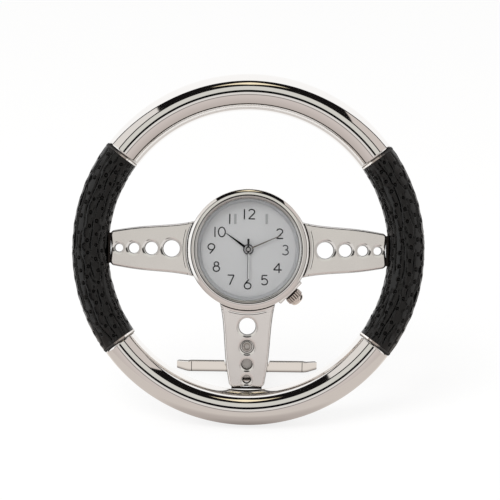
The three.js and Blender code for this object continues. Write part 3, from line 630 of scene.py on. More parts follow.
def spokeOutline(end):
    # One side of the spoke from the hub to the rim's inner edge, then mirrored
    hubHalf, rimHalf = spokes["hubWidth"] / 2, spokes["rimWidth"] / 2
    bend, flare = spokes["cornerRound"], spokes["flare"]
    rootHalf = math.asin((hubHalf + flare) / spokes["start"])
    start = spokes["start"] * math.cos(rootHalf)
    side = []
    for i in range(25):
        share = i / 24
        along = start + (end - bend - start) * share
        width = hubHalf + (rimHalf - hubHalf) * share + 2 * spokes["bulge"] * share * (1 - share)
        width -= spokes["wave"] * math.sin(2 * math.pi * share)
        side.append((along, width + flare * (1 - share) ** 12))
    side += arc(end - bend, rimHalf - bend, bend, math.pi / 2, 0, 6)[1:]
    inward = [(end - 0.3 * (1 - share), share * (rimHalf - bend)) for share in (0.75, 0.5, 0.25, 0)]
    half = side + inward
    root = arc(0, 0, spokes["start"], -rootHalf, rootHalf, 16)[1:-1]
    return half + [(x, -y) for x, y in reversed(half[:-1])] + root


def holeAt(place, reach):
    # Which hole a place borders on within reach of its wall, and how far in it is
    sink = spokes["edgeRound"]
    for distance, radius in spokes["holes"]:
        inward = (radius + reach - math.hypot(place.x - distance, place.z)) / sink
        if inward > -0.01:
            return distance, max(inward, 0)
    return None, 0


def makeSpoke(name, direction, end, nodes=()):
    sink, draft, reach = spokes["edgeRound"], spokes["draft"], spokes["sinkWidth"]
    outlines = [spokeOutline(end)] + [arc(distance, 0, radius + reach - sink, 0, 2 * math.pi, 40)[:-1]
                                      for distance, radius in spokes["holes"]]
    bm = flatPlate(outlines, spokes["front"], spokes["back"], sink, 4)
    middle = (spokes["front"] + spokes["back"]) / 2
    isFlat = {face: abs(face.normal.y) > 0.9999 for face in bm.faces}
    # Side walls take the wall shade, a painted shade
    for face in bm.faces:
        face.smooth = True
        face.material_index = 1 if abs(face.normal.y) < 0.3 else 0
    for edge in bm.edges:
        sides = [isFlat[face] for face in edge.link_faces]
        edge.smooth = len(sides) == 2 and sides[0] == sides[1]
    # In front the holes' edges fall away a little, and at the back all is wider by the draft
    for vert in bm.verts:
        hole, inward = holeAt(vert.co, reach)
        if vert.co.y < middle and hole:
            vert.co.y = spokes["front"] + sink * spokes["sinkDepth"] * inward ** 2
        elif vert.co.y > middle and hole:
            vert.co += Vector((hole - vert.co.x, 0, -vert.co.z)).normalized() * draft
        elif vert.co.y > middle:
            vert.co.z += math.copysign(draft, vert.co.z)
        vert.co.y += spokes["dish"] * (vert.co.x - spokes["dishFrom"])
    turnBy(bm, -direction)
    piece = finishPiece(name, bm, satinChrome, nodes=nodes, sharp=None)
    piece.data.materials.append(wallShade)


def holeCollars():
    # The stepped rim and the wall of each hole, let into the plates
    bm = bmesh.new()
    proud, draft = spokes["collarProud"], spokes["draft"]
    front, back = spokes["front"] - proud, spokes["back"] + proud
    for direction in spokes["directions"]:
        for distance, radius in spokes["holes"]:
            corners = [(radius + reach, front + fall) for reach, fall in spokes["step"]]
            corners += [(radius - draft, back - 0.1), (radius - draft + 0.1, back),
                        (radius + spokes["sinkWidth"], back)]
            ring = lathe(corners, 64)
            # The holes' walls take the wall shade, a painted shade
            for face in ring.faces:
                face.material_index = 1 if abs(face.normal.y) < 0.3 else 0
            for vert in ring.verts:
                vert.co.x += distance
                vert.co.y += spokes["dish"] * (vert.co.x - spokes["dishFrom"])
            turnBy(ring, -direction)
            joinInto(bm, ring)
    piece = finishPiece("hole_collars", bm, chrome, sharp=35)
    piece.data.materials.append(wallShade)


holeCollars()
for name, direction, end in zip(("right", "left", "bottom"), spokes["directions"], spokes["ends"]):
    makeSpoke("spoke_" + name, direction, end, ["wheel_spider"] if name == "right" else ())

# Hub ring, with a concave fillet from its edge down onto each spoke
hub = {
    "ring": [(12.85, -2.8), (13.7, -2.8), (13.7, 3.1), (12.85, 3.1)],
    "edgeRound": 0.12,
    "filletStart": 13.7,
    "filletFront": -2.75,
    "filletMiddle": 14.2,
    "filletEnd": 14.8,
    "filletMargin": 0.3,
}


def barAcross(corners, direction, radius, margin):
    # A section drawn round the hub over the width of one spoke, less a margin at each side
    half = math.asin((spokes["hubWidth"] / 2 - margin) / radius)
    bar = section(corners, True)
    turnBy(bar, half - direction)
    spinRound(bar, 24, -2 * half)
    closeEnds(bar)
    return bar


def hubFillets():
    start, end, front = hub["filletStart"], hub["filletEnd"], hub["filletFront"]
    low = spokes["front"] + spokes["dish"] * (hub["filletMiddle"] - spokes["dishFrom"])
    quarter = [i / 8 * math.pi / 2 for i in range(9)]
    bow = [(start + (end - start) * (1 - math.cos(turn)), front + (low - front) * math.sin(turn))
           for turn in quarter]
    corners = bow + [(end, low + 0.3), (start, low + 0.3)]
    bm = bmesh.new()
    for direction in spokes["directions"]:
        joinInto(bm, barAcross(corners, direction, hub["filletMiddle"], hub["filletMargin"]))
    finishPiece("hub_fillets", bm, chrome, sharp=35)


hubFillets()
finishPiece("hub_ring", soften(lathe(hub["ring"], 128), hub["edgeRound"]), chrome)

# Painted shade: dark strips round the hub, at its fillets and where each spoke meets the rim
shadeSeams = {
    "atHub": [(13.88, 0.22, -3.0), (14.82, 0.12, -2.25)],      # radius, width and front
    "hubBack": -1.9,
    "hubMargin": 0.12,
    "atRim": [(31.6, -1.85), (31.6, -1.85), (31.55, -0.45)],   # distance and front, spoke by spoke
    "rimBack": 0.7,
    "rimWidth": 0.42,
    "rimMargin": 0.5,
}


def spokeShadeSeams():
    bm = bmesh.new()
    low, back = shadeSeams["hubBack"], shadeSeams["rimBack"]
    for direction, (end, front) in zip(spokes["directions"], shadeSeams["atRim"]):
        for radius, width, top in shadeSeams["atHub"]:
            near, far = radius - width / 2, radius + width / 2
            corners = [(near, top), (far, top), (far, low), (near, low)]
            joinInto(bm, barAcross(corners, direction, radius, shadeSeams["hubMargin"]))
        size = (shadeSeams["rimWidth"], back - front, spokes["rimWidth"] - 2 * shadeSeams["rimMargin"])
        bar = block(size, (end, (back + front) / 2, 0))
        turnBy(bar, -direction)
        joinInto(bm, bar)
    finishPiece("spoke_shade_seams", bm, seamShade)


spokeShadeSeams()
print("spokes and hub made")

# Grips: black leatherette with punched pits, in two sleeves
grips = {
    "ringRadius": 36.0,            # a little further out than the metal
    "radius": 4.14,
    "halfAngle": (36.5 - 0.95) * degree,
    "sectionSteps": 200,
    "arcSteps": 310,
    "rows": 13,
    "pitSpacing": 2.9,
    "pitDrift": (0.5, 0.22),       # along the sleeve, and across as a share of a row
    "pitSizes": (0.85, 1.15),
    "pitRadius": 0.38,
    "pitDepth": 0.5,
    "pitWall": 1.45,               # where the pit's wall ends, in pit radii
    "lip": 0.12,
    "lipReach": 0.95,
    "lipFall": 1.6,
    "reach": 2.2,                  # how far a pit and its lip act
    "furrowDepth": 0.36,
    "furrowWidth": 0.16,
    "furrowWander": 0.75,
    "furrowLength": 4.5,
    "furrowShare": (0.78, 1.7),    # how much of a row is creased, and how abruptly that changes
    "swell": 0.07,
    "swellSize": 2.6,
    "endRound": 0.22,
    "endMargin": 1.1,
    # Rings at the ends: from and to these degrees short of the chrome, and their radius
    # A ring of painted shadow where the leather meets the chrome
    "shadeSeams": (-0.05, 0.38, 4.1),
    "bands": (0.36, 0.98, 4.18),
}


def leatherMaterial():
    recipe = Recipe(bpy.data.materials.new("leatherette"))
    pit = recipe.layer("pit")
    grain = recipe.noise(0.00035, 4)
    patches = recipe.noise(0.005, 2)
    skin = recipe.mix(patches, tone(5, 5, 5), tone(11, 10, 10))
    # Pits and furrows get a darker base colour: painted shade in the hollows
    return recipe.surface({
        "Base Color": recipe.mix(pit, skin, tone(3, 3, 3)),
        "Roughness": patches.spread(0.09, 0.15) + pit * 0.4,
        "Specular IOR Level": 0.41,
        "Normal": recipe.bump(grain, 0.00002)})


def cutLeatherMaterial(name, inside, middle, outside):
    # A frayed end: pale on the side of the hub, dark on the rim's outer side
    recipe = Recipe(bpy.data.materials.new(name))
    fibre = recipe.noise(0.0006, 5)
    outer = recipe.layer("outer")
    place = outer + fibre.spread(-0.5, 0.5)
    colour = recipe.mix(place.past(-0.5, 0.12), inside, middle)
    return recipe.surface({
        "Base Color": recipe.mix(place.past(0.1, 0.25), colour, outside),
        "Roughness": 0.7,
        "Normal": recipe.bump(fibre, 0.0001)})


leather = leatherMaterial()
cutLeather = cutLeatherMaterial("leatherCutEdge", tone(235, 231, 227), tone(140, 130, 122),
                                tone(44, 42, 41))
cutShadow = cutLeatherMaterial("leatherCutShadow", tone(150, 142, 134), tone(60, 54, 50),
                               tone(12, 11, 11))


def pitPlaces(side, length, girth):
    # Staggered rows of pits on the unrolled sleeve, each a little out of line
    draw = random.Random(7 + side)
    columns = int(length / grips["pitSpacing"])
    drift, drop = grips["pitDrift"]
    places = []
    for row in range(grips["rows"]):
        for column in range(columns + 1):
            along = (column + 0.5 * (row % 2)) * grips["pitSpacing"] + draw.uniform(-drift, drift)
            across = (row + draw.uniform(-drop, drop)) * girth / grips["rows"]
            if grips["endMargin"] < along < length - grips["endMargin"]:
                places.append((along, across % girth, draw.uniform(*grips["pitSizes"])))
    return places


def furrowAt(side, along, across, girth):
    # How deep in a long crease a place is: they wander between the rows, come and go
    spacing = girth / grips["rows"]
    level, contrast = grips["furrowShare"]
    below = math.floor(across / spacing - 0.5)
    deepest = 0
    for line in (below, below + 1):
        seat = Vector((along / grips["furrowLength"], 7.3 * (line % grips["rows"]) + 0.4, 31.7 * side))
        middle = (line + 0.5) * spacing + grips["furrowWander"] * noise.noise(seat)
        strength = smooth(level + contrast * noise.noise(seat * 1.4 + Vector((0, 0.5, 9.3))))
        deepest = max(deepest, strength * math.exp(-((across - middle) / grips["furrowWidth"]) ** 2))
    return deepest


def pitTree(places, girth):
    # The sleeve closes on itself round the tube, so each pit is entered on three laps
    tree = kdtree.KDTree(3 * len(places))
    for index, (along, across, size) in enumerate(places):
        for lap in (-1, 0, 1):
            tree.insert((along, across + lap * girth, 0), index)
    tree.balance()
    return tree


def pitsAt(places, tree, along, across):
    # How deep in a pit a place is, and how far the lips round the pits raise it
    pitted = raised = 0
    for place, index, far in tree.find_range((along, across, 0), grips["reach"]):
        size = places[index][2]
        pit = smooth(grips["pitWall"] - far / (grips["pitRadius"] * size))
        lip = math.exp(-(far / grips["lipReach"]) ** 2 * grips["lipFall"])
        raised += grips["lip"] * size * lip * (1 - pit)
        pitted = max(pitted, pit)
    return pitted, raised


def pressLeather(bm, side):
    # Swells, pits and furrows, all fading out toward the sleeve's ends
    half, radius, ringRadius = grips["halfAngle"], grips["radius"], grips["ringRadius"]
    girth, length = 2 * math.pi * radius, 2 * half * ringRadius
    places = pitPlaces(side, length, girth)
    tree = pitTree(places, girth)
    pitShadeLayer = bm.verts.layers.float.new("pit")
    for vert in bm.verts:
        turn = math.atan2(vert.co.z, vert.co.x)
        middle = Vector((math.cos(turn), 0, math.sin(turn))) * ringRadius
        outward = (vert.co - middle).normalized()
        around = math.atan2(outward.y, outward.dot(middle.normalized())) % (2 * math.pi)
        along, across = (turn + half) * ringRadius, around * radius
        pitted, raised = pitsAt(places, tree, along, across)
        furrow = furrowAt(side, along, across, girth) * (1 - pitted)
        swell = grips["swell"] * noise.noise(vert.co / grips["swellSize"])
        sunk = grips["pitDepth"] * pitted + grips["furrowDepth"] * furrow
        edge = smooth(min(along, length - along) / grips["endMargin"])
        # The pit and furrow share drives the painted shade
        vert[pitShadeLayer] = max(pitted, furrow)
        vert.co += outward * (swell + raised - sunk) * edge


def makeGrip(name, side, node):
    bm = tubeSection(grips["ringRadius"], grips["radius"], grips["sectionSteps"])
    turnBy(bm, grips["halfAngle"])
    spinRound(bm, grips["arcSteps"], -2 * grips["halfAngle"])
    pressLeather(bm, side)
    ends = closeEnds(bm)
    for face in ends:
        face.material_index = 1
    rings = [edge for face in ends for edge in face.edges]
    bmesh.ops.bevel(bm, geom=rings, offset=grips["endRound"], affect="EDGES", segments=3, profile=0.5,
                    material=0, clamp_overlap=True)
    if side < 0:
        turnBy(bm, math.pi)
    piece = finishPiece(name, bm, leather, nodes=[node], sharp=60)
    piece.data.materials.append(cutLeather)


def gripRings(name, measures, material):
    # Short rings at the four ends of the sleeves
    start, end, radius = measures
    bm = bmesh.new()
    for middle in (0, math.pi):
        for side in (-1, 1):
            first = side * (rim["gripHalfAngle"] - start * degree)
            last = side * (rim["gripHalfAngle"] - end * degree)
            ring = tubeSection(grips["ringRadius"], radius, 64)
            turnBy(ring, -first - middle)
            spinRound(ring, 2, first - last)
            closeEnds(ring)
            joinInto(bm, ring)
    outer = bm.verts.layers.float.new("outer")
    for vert in bm.verts:
        vert[outer] = (math.hypot(vert.co.x, vert.co.z) - grips["ringRadius"]) / radius
    finishPiece(name, bm, material)


# Rings of painted shadow, then pale bands
gripRings("grip_end_shadows", grips["shadeSeams"], cutShadow)
gripRings("grip_bands", grips["bands"], cutLeather)
makeGrip("leather_left", -1, "grip_left")
makeGrip("leather_right", 1, "grip_right")
print("grips made")

# Clock insert: bezel, slope ring, case and lid, all turned
clockCase = {
    "bezelOut": 13.7,
    "bezelBack": -2.9,
    "crest": 12.22,
    "crestDepth": -5.0,
    "outerRound": 2.37,
    "outerFall": 36 * degree,
    "edgeRound": 0.25,
    "innerRound": 0.8,
    "innerFall": 46 * degree,
    "bezelIn": 11.66,
    "grooveIn": 12.12,
    "grooveOut": 12.3,
    "lipBack": -4.15,
    "rebate": 12.45,
    # Plain sections, as corners (radius, depth)
    "groove": [(12.09, -4.86), (12.33, -4.86), (12.33, -4.15), (12.09, -4.15)],
    "slope": [(11.3, -3.0), (11.55, -3.0), (11.55, -1.6), (10.76, -1.6), (10.76, -1.67)],
    "wall": [(11.6, -3.05), (12.4, -3.05), (12.4, 3.85), (11.6, 3.85)],
    "lid": [(0, 3.9), (10.4, 3.9), (10.4, 3.3), (11.3, 3.3), (11.3, 3.9), (12.4, 3.9), (12.4, 4.33),
            (12.28, 4.45), (10.7, 4.45), (10.58, 4.33), (10.4, 4.33), (10.28, 4.45), (0, 4.45)],
    "dialFront": -1.55,
}


def bezelCorners():
    # The bezel's outside rises in an arc to its crest, and its lip falls inward behind a groove
    c = clockCase
    crest, front, back, top = c["crest"], c["crestDepth"], c["lipBack"], -math.pi / 2
    outer, inner, edge = c["outerRound"], c["innerRound"], c["edgeRound"]
    rise = arc(crest, front + outer, outer, top + c["outerFall"], top, 16)[:-1]
    fall = arc(crest, front + inner, inner, top, top - c["innerFall"], 8)
    low = rise[0][1] + edge * math.cos(c["outerFall"])
    turned = arc(c["bezelOut"] - edge, low, edge, 0, top + c["outerFall"], 6)[:-1]
    outside = [corner for corner in [(c["bezelOut"], c["bezelBack"])] + turned + rise
               if corner[0] > c["grooveOut"]]
    outside += [(c["grooveOut"], front + 0.01), (c["grooveOut"], back), (c["rebate"], back),
                (c["rebate"], c["bezelBack"])]
    lip = [(c["grooveIn"], back - 0.02), (c["grooveIn"], front + 0.06)]
    lip += [corner for corner in fall if corner[0] < c["grooveIn"] - 0.04]
    return outside, lip + [(c["bezelIn"], back - 0.02)]


def makeInsert():
    c = clockCase
    outside, lip = bezelCorners()
    finishPiece("bezel_ring", lathe(outside, 160), chrome, nodes=["bezel"], sharp=35)
    finishPiece("bezel_lip", lathe(lip, 160), lipMetal, sharp=35)
    # The dark ring in the bezel's groove is painted shade
    finishPiece("bezel_groove", lathe(c["groove"], 160), seamShade)
    slope = lathe(c["slope"], 160)
    finishPiece("dial_slope", slope, slopePaint, nodes=["dial_ring"], sharp=30)
    wall = soften(lathe(c["wall"], 128), 0.06, 2)
    finishPiece("case_wall", wall, chrome, nodes=["clock_case"])
    lid = lathe(c["lid"], 128, closed=False)
    finishPiece("case_lid", lid, brushedSteel, nodes=["case_back"], sharp=30)


def paintedMetal(name, colour, roughness, metallic, grain=0.0003, relief=0.000002):
    recipe = Recipe(bpy.data.materials.new(name))
    speck = recipe.noise(grain, 3)
    cloud = recipe.noise(0.012, 2)
    tint = recipe.mix(cloud, tuple(value * 0.95 for value in colour[:3]) + (1.0,), colour)
    return recipe.surface({
        "Base Color": tint, "Metallic": metallic,
        "Roughness": speck.spread(roughness - 0.05, roughness + 0.05),
        "Normal": recipe.bump(speck, relief)})


slopePaint = paintedMetal("slopeSilver", tone(220, 220, 222), 0.4, 0.35)
brushedSteel = paintedMetal("brushedSteel", tone(205, 203, 200), 0.3, 1.0, 0.0006, 0.000004)
dialPaint = paintedMetal("dialSilver", tone(231, 230, 231), 0.55, 0.15, 0.00012)
makeInsert()


def crystalGlass():
    recipe = Recipe(bpy.data.materials.new("crystalGlass"))
    wipe = recipe.noise(0.006, 3)
    edge = recipe.add("Fresnel", {}, {"IOR": 1.5})
    clear = recipe.add("BsdfTransparent", {}, {"Color": (0.985, 0.99, 0.99, 1)})
    gloss = recipe.add("BsdfGlossy", {}, {"Color": (1, 1, 1, 1), "Roughness": wipe.spread(0.01, 0.03)})
    return recipe.close(recipe.add("MixShader", {}, {0: edge * 0.8, 1: clear, 2: gloss}))


# Numerals: strokes on a box one high and centred, then flattened tubes on the dial
numerals = {
    "height": 2.3,
    "stroke": [0.135, 0.135, 0.27],   # half widths of dark, grey and broad grey strokes
    "lift": 0.03,
    "ovalSteps": 20,
    "bendSteps": 14,
    "sharpTurn": 0.6,
    "relief": 0.06,
}


def bend(*points):
    # A smooth stroke along a Bezier curve of three or four points
    curve, steps = [], numerals["bendSteps"]
    for i in range(steps + 1):
        rest = [Vector(point) for point in points]
        while len(rest) > 1:
            rest = [a.lerp(b, i / steps) for a, b in zip(rest, rest[1:])]
        curve.append(tuple(rest[0]))
    return curve


def oval(x, y, wide, high, start=0, end=360):
    return [(x + wide * px, y + high * py) for px, py in
            arc(0, 0, 1, start * degree, end * degree, numerals["ovalSteps"])]


digits = {
    "0": [oval(0, 0, 0.34, 0.47)],
    "1": [[(0, -0.5), (0, 0.5)]],
    "2": [oval(-0.01, 0.22, 0.29, 0.25, 165, -32) + [(-0.3, -0.47), (0.33, -0.47)]],
    "3": [oval(0, 0.24, 0.25, 0.23, 150, -88), oval(0, -0.22, 0.31, 0.25, 88, -150)],
    "4": [[(0.16, -0.5), (0.16, 0.46), (-0.38, -0.2), (0.42, -0.2)]],
    "5": [[(0.29, 0.46), (-0.2, 0.46), (-0.25, 0.02)] + oval(0, -0.17, 0.32, 0.3, 130, -145)],
    "6": [bend((0.12, 0.5), (-0.1, 0.2), (-0.3, 0.05), (-0.33, -0.17)), oval(0, -0.17, 0.33, 0.3)],
    "7": [[(-0.3, 0.46), (0.32, 0.46), (-0.1, -0.5)]],
    "8": [oval(0, 0.26, 0.22, 0.21), oval(0, -0.2, 0.31, 0.27)],
    "9": [oval(0, 0.17, 0.33, 0.3), bend((0.33, 0.17), (0.3, -0.05), (0.1, -0.2), (-0.14, -0.5))],
}
# Each figure's digit, its middle on the dial, and its kind of stroke
figures = [
    ("1", -0.98, 7.98, 0), ("2", 0.68, 8.02, 0), ("1", 4.09, 6.95, 2), ("2", 7.1, 3.66, 0),
    ("3", 8.38, -0.05, 1), ("4", 6.68, -4.12, 0), ("5", 3.72, -6.92, 0), ("6", -0.05, -7.9, 0),
    ("7", -3.92, -6.95, 0), ("8", -7.2, -4.0, 0), ("9", -8.4, 0.1, 0), ("1", -7.62, 3.88, 0),
    ("0", -6.06, 3.88, 0), ("1", -4.3, 6.87, 0), ("1", -3.05, 6.87, 2),
]


def cutCorners(points):
    # A stroke parted at its sharp corners, where a tube would pinch
    runs = [[points[0]]]
    for before, corner, after in zip(points, points[1:], points[2:]):
        runs[-1].append(corner)
        turn = (Vector(corner) - Vector(before)).angle(Vector(after) - Vector(corner))
        if turn > numerals["sharpTurn"]:
            runs.append([corner])
    runs[-1].append(points[-1])
    return runs


def strokeTubes(strokes, radius, flatten):
    data = bpy.data.curves.new("strokes", "CURVE")
    data.dimensions, data.bevel_depth, data.bevel_resolution = "3D", radius, 2
    data.use_fill_caps = True
    runs = []
    for points in [run for stroke in strokes for run in cutCorners(stroke)]:
        isRing = len(points) > 3 and (Vector(points[0]) - Vector(points[-1])).length < 1e-4
        runs.append((points[:-1] if isRing else points, isRing))
    bm = traced(data, runs)
    bm.transform(Matrix.Diagonal((1, 1, flatten, 1)))
    bm.transform(upright)
    return bm


def makeNumerals():
    front = clockCase["dialFront"] - numerals["lift"]
    for name, kind, material, slot in (("numerals_dark", 0, darkPlate, "hand_dark"),
                                       ("numeral_grey", 1, greyReflectionPlate, "hand_pale"),
                                       ("numerals_broad", 2, paleReflectionPlate, "hand_pale")):
        strokes = [[(x + px * numerals["height"], y + py * numerals["height"]) for px, py in stroke]
                   for digit, x, y, stroked in figures if stroked == kind for stroke in digits[digit]]
        radius = numerals["stroke"][kind]
        bm = strokeTubes(strokes, radius, numerals["relief"] / radius)
        bm.transform(Matrix.Translation((0, front, 0)))
        finishPiece(name, bm, material)


darkPlate = paintedMetal("darkPlate", tone(16, 16, 19), 0.5, 0.0)
# Grey and pale numerals are painted reflection: lighter copies of the dark numerals' finish
greyReflectionPlate = paintedMetal("greyReflectionPlate", tone(92, 92, 95), 0.35, 0.2)
paleReflectionPlate = paintedMetal("paleReflectionPlate", tone(184, 184, 185), 0.35, 0.1)
palePlate = polishedMetal("palePlate", tone(222, 222, 224), 0.25, 0.05)
makeNumerals()

# Hands: bevelled blades with turned bosses
hands = {
    "hour": {"length": 6.2, "wide": 0.56, "tip": 0.12, "boss": 1.17, "back": -1.85, "angle": 305.7,
             "body": "hours", "nodes": ["hour_hand"], "tail": 0},
    "minute": {"length": 8.1, "wide": 0.32, "tip": 0.16, "boss": 0.96, "back": -2.3, "angle": 66.2,
               "body": "minutes", "nodes": ["minute_hand"], "tail": 0},
    "second": {"length": 6.75, "wide": 0.42, "tip": 0.4, "boss": 0.6, "back": -2.75, "angle": 180,
               "body": "seconds", "nodes": ["second_hand"], "tail": 2.4},
}
handShape = {
    "thick": 0.15,
    "edgeRound": 0.045,
    "shoulder": (0.92, 0.3),       # the blade's width there, and how far out it is, as shares
    "tailWidth": 0.6,
    # The boss, as a share of its radius and a depth from the blade's back
    "boss": [(0, 0.02), (0.97, 0.02), (1, -0.1), (0.93, -0.2), (0.8, -0.24), (0, -0.24)],
    "pin": [(0, -2.8), (0.4, -2.8), (0.4, -3.04), (0.3, -3.1), (0, -3.14)],
}


def makeHand(name, material, bossMaterial):
    h, (narrow, out) = hands[name], handShape["shoulder"]
    half, back, tail = h["wide"] / 2, h["back"], h["tail"]
    blade = [(half, 0), (half * narrow, h["length"] * out), (h["tip"] / 2, h["length"])]
    blade += [(-x, y) for x, y in reversed(blade)]
    if tail:
        tailHalf = h["wide"] * handShape["tailWidth"]
        blade += [(-tailHalf, -tail), (tailHalf, -tail)]
    bm = flatPlate([blade], back - handShape["thick"], back, handShape["edgeRound"], 2)
    bossCorners = [(h["boss"] * share, back + depth) for share, depth in handShape["boss"]]
    boss = lathe(bossCorners, 48, closed=False)
    for face in boss.faces:
        face.material_index = 1
    joinInto(bm, boss)
    turnBy(bm, h["angle"] * degree)
    piece = finishPiece(name + "_blade", bm, material, body=h["body"], nodes=h["nodes"], sharp=30)
    piece.data.materials.append(bossMaterial)


def secondHandShadeAndHighlight():
    # Dark tail; painted shade on the left edge and a painted highlight on the right edge
    recipe = Recipe(bpy.data.materials.new("secondHandShadeAndHighlight"))
    aside, height = recipe.place("X"), recipe.place("Z")
    blade = recipe.mix(aside.past(0.00003, 0.00004), tone(140, 140, 141), tone(255, 255, 255))
    grain = recipe.noise(0.0002, 2)
    return recipe.surface({
        "Base Color": recipe.mix(height.past(centre.z, 0.0003), blade, tone(48, 48, 50)),
        "Metallic": 0.3, "Roughness": grain.spread(0.25, 0.35)})


handDark = polishedMetal("handDark", tone(52, 52, 55), 0.12, 0.05)
handGrey = paintedMetal("handGrey", tone(128, 121, 113), 0.3, 0.4)
handPale = polishedMetal("handPale", tone(200, 200, 203), 0.28, 0.05)
makeHand("hour", handDark, handDark)
makeHand("minute", handGrey, handPale)
makeHand("second", secondHandShadeAndHighlight(), handDark)
pin = lathe(handShape["pin"], 24, closed=False)
finishPiece("second_pin", pin, palePlate, body="seconds")
print("clock face made")

# Crown: knurled drum with a domed end, along X of its own frame
crown = {
    "inner": 14.35,
    "knurlEnd": 15.7,
    "end": 16.9,
    "radius": 1.95,
    "chamfer": (0.15, 0.2),        # along the drum, and inward
    "domeFoot": 0.05,
    "domeRadius": 0.86,            # as a share of the drum's
    "domeShape": 0.8,
    "bore": 1.2,
    "boreEnd": 15.3,
    "teeth": 20,
    "toothDepth": 0.26,
    "washer": [(13.95, 1.25), (13.95, 1.78), (14.32, 1.78), (14.32, 1.25)],
    "boss": ((1.5, 5.9, 6.8), (13.25, 0.15, 0)),
}


def crownPlate():
    recipe = Recipe(bpy.data.materials.new("crownPlate"))
    # The knurl's grooves are painted darker: painted shade in the hollows
    groove = recipe.layer("groove")
    wipe = recipe.noise(0.002, 3)
    return recipe.surface({
        "Base Color": recipe.mix(groove, tone(238, 228, 221), tone(96, 86, 80)),
        "Metallic": 1.0,
        "Roughness": wipe.spread(0.12, 0.2),
        "Normal": recipe.bump(wipe, 0.00001)})


def makeCrown():
    c = crown
    near, far, end, radius = c["inner"], c["knurlEnd"], c["end"], c["radius"]
    along, inward = c["chamfer"]
    foot = far + c["domeFoot"]
    dome = [(foot + (end - foot) * math.sin(turn * degree),
             radius * c["domeRadius"] * math.cos(turn * degree) ** c["domeShape"])
            for turn in range(0, 90, 9)]
    corners = [(near, c["bore"]), (near, radius - inward), (near + along, radius),
               (far - along, radius), (far, radius - inward)]
    corners += dome + [(end, 0), (c["boreEnd"], 0), (c["boreEnd"], c["bore"])]
    bm = lathe(corners, c["teeth"] * 8, axis=(1, 0, 0))
    grooveShade = bm.verts.layers.float.new("groove")
    for vert in bm.verts:
        reach = math.hypot(vert.co.y, vert.co.z)
        if reach > radius - 0.25 and vert.co.x < far + 0.01:
            wave = abs(math.sin(math.atan2(vert.co.z, vert.co.y) * c["teeth"] / 2))
            vert.co.yz *= 1 - c["toothDepth"] * (1 - wave) ** 1.5 / reach
            vert[grooveShade] = 1 - wave
    finishPiece("crown_knob", bm, crownPlate(), body="crown_and_stem", nodes=["crown"],
                place=crownPlace, sharp=50)


makeCrown()
# The washer takes the seam shade, a painted shade between the boss and the crown
washer = lathe(crown["washer"], 48, axis=(1, 0, 0))
finishPiece("crown_washer", washer, seamShade, place=crownPlace)
boss = soften(block(*crown["boss"]), 0.25, 3)
turnBy(boss, 45 * degree)
finishPiece("crown_boss", boss, chrome, flat=True)
print("crown made")

# Foot bracket: one pressed sheet, from the tab behind the bottom spoke to the turned-out foot
stand = {
    "thick": 0.9,
    "tabDepth": 1.45,
    "tabTop": -20.0,
    "tabEnd": -30.4,
    "tabWidth": 7.2,
    "stripWidth": 10.5,
    "footFront": 20.4,
    "footHeight": 2.75,
    "wingBend": 13.5,              # where a wing starts to turn back
    "wingBendStep": 0.3,
    "wingLength": 2.5,
    "wingAngle": 39 * degree,
    "wingFall": 0.25,              # a wing's fall for each millimetre outward
    "wingFallFrom": 13.7,
    "bendRadius": 1.0,
    "edgeRound": 0.22,
    "crease": (0.16, 0.2),         # width and depth
}
floorPlace = Matrix.Translation((0, centre.y, 0)) @ Matrix.Scale(millimetre, 4)


def roundedPath(points, radius, steps=6):
    # A side view with its inner corners turned into arcs
    path = [Vector(points[0])]
    for before, corner, after in zip(points, points[1:], points[2:]):
        corner = Vector(corner)
        inward, outward = (Vector(before) - corner).normalized(), (Vector(after) - corner).normalized()
        half = inward.angle(outward) / 2
        reach = radius / math.tan(half)
        middle = corner + (inward + outward).normalized() * radius / math.sin(half)
        start, end = corner + inward * reach - middle, corner + outward * reach - middle
        sweep = start.angle_signed(end)
        path += [middle + Matrix.Rotation(-sweep * i / steps, 2) @ start for i in range(steps + 1)]
    return path + [Vector(points[-1])]


def grow(bm, edges):
    # Extends a sheet beyond the given edges, and gives back its new ones
    grown = bmesh.ops.extrude_edge_only(bm, edges=edges)["geom"]
    return [item for item in grown if isinstance(item, bmesh.types.BMEdge)
            and all(vert in grown for vert in item.verts)]


def standPath():
    # The side view (depth, height) above the floor, and the depths between which it widens
    s = stand
    lean = math.acos(-frontward.y)
    height = centre.z / millimetre

    def tilted(depth, along):
        return (depth * math.cos(lean) + along * math.sin(lean),
                height + along * math.cos(lean) - depth * math.sin(lean))

    top, low = tilted(s["tabDepth"], s["tabTop"]), tilted(s["tabDepth"], s["tabEnd"] + s["thick"] / 2)
    foot = s["footFront"] + s["thick"] / 2
    corners = [top, low, (foot, s["footHeight"] - s["thick"] / 2), (foot, 0)]
    return roundedPath(corners, s["bendRadius"]), low[0] + 0.5, foot - 1


def sweepStrip(bm):
    # The sheet's middle layer from tab to foot; gives back its last two rows
    s = stand
    path, widenFrom, widenTo = standPath()
    row = [bm.verts.new((side, 0, 0)) for side in (-1, 0, 1)]
    edges = [bm.edges.new(pair) for pair in zip(row, row[1:])]
    for index, point in enumerate(path):
        if index:
            edges, upper = grow(bm, edges), row
            row = sorted({vert for edge in edges for vert in edge.verts}, key=lambda vert: vert.co.x)
        share = min(max((point.x - widenFrom) / (widenTo - widenFrom), 0), 1)
        half = (s["tabWidth"] + (s["stripWidth"] - s["tabWidth"]) * share) / 2
        for vert, side in zip(row, (-1, 0, 1)):
            vert.co = (half * side, point.x, point.y)
    return upper, row


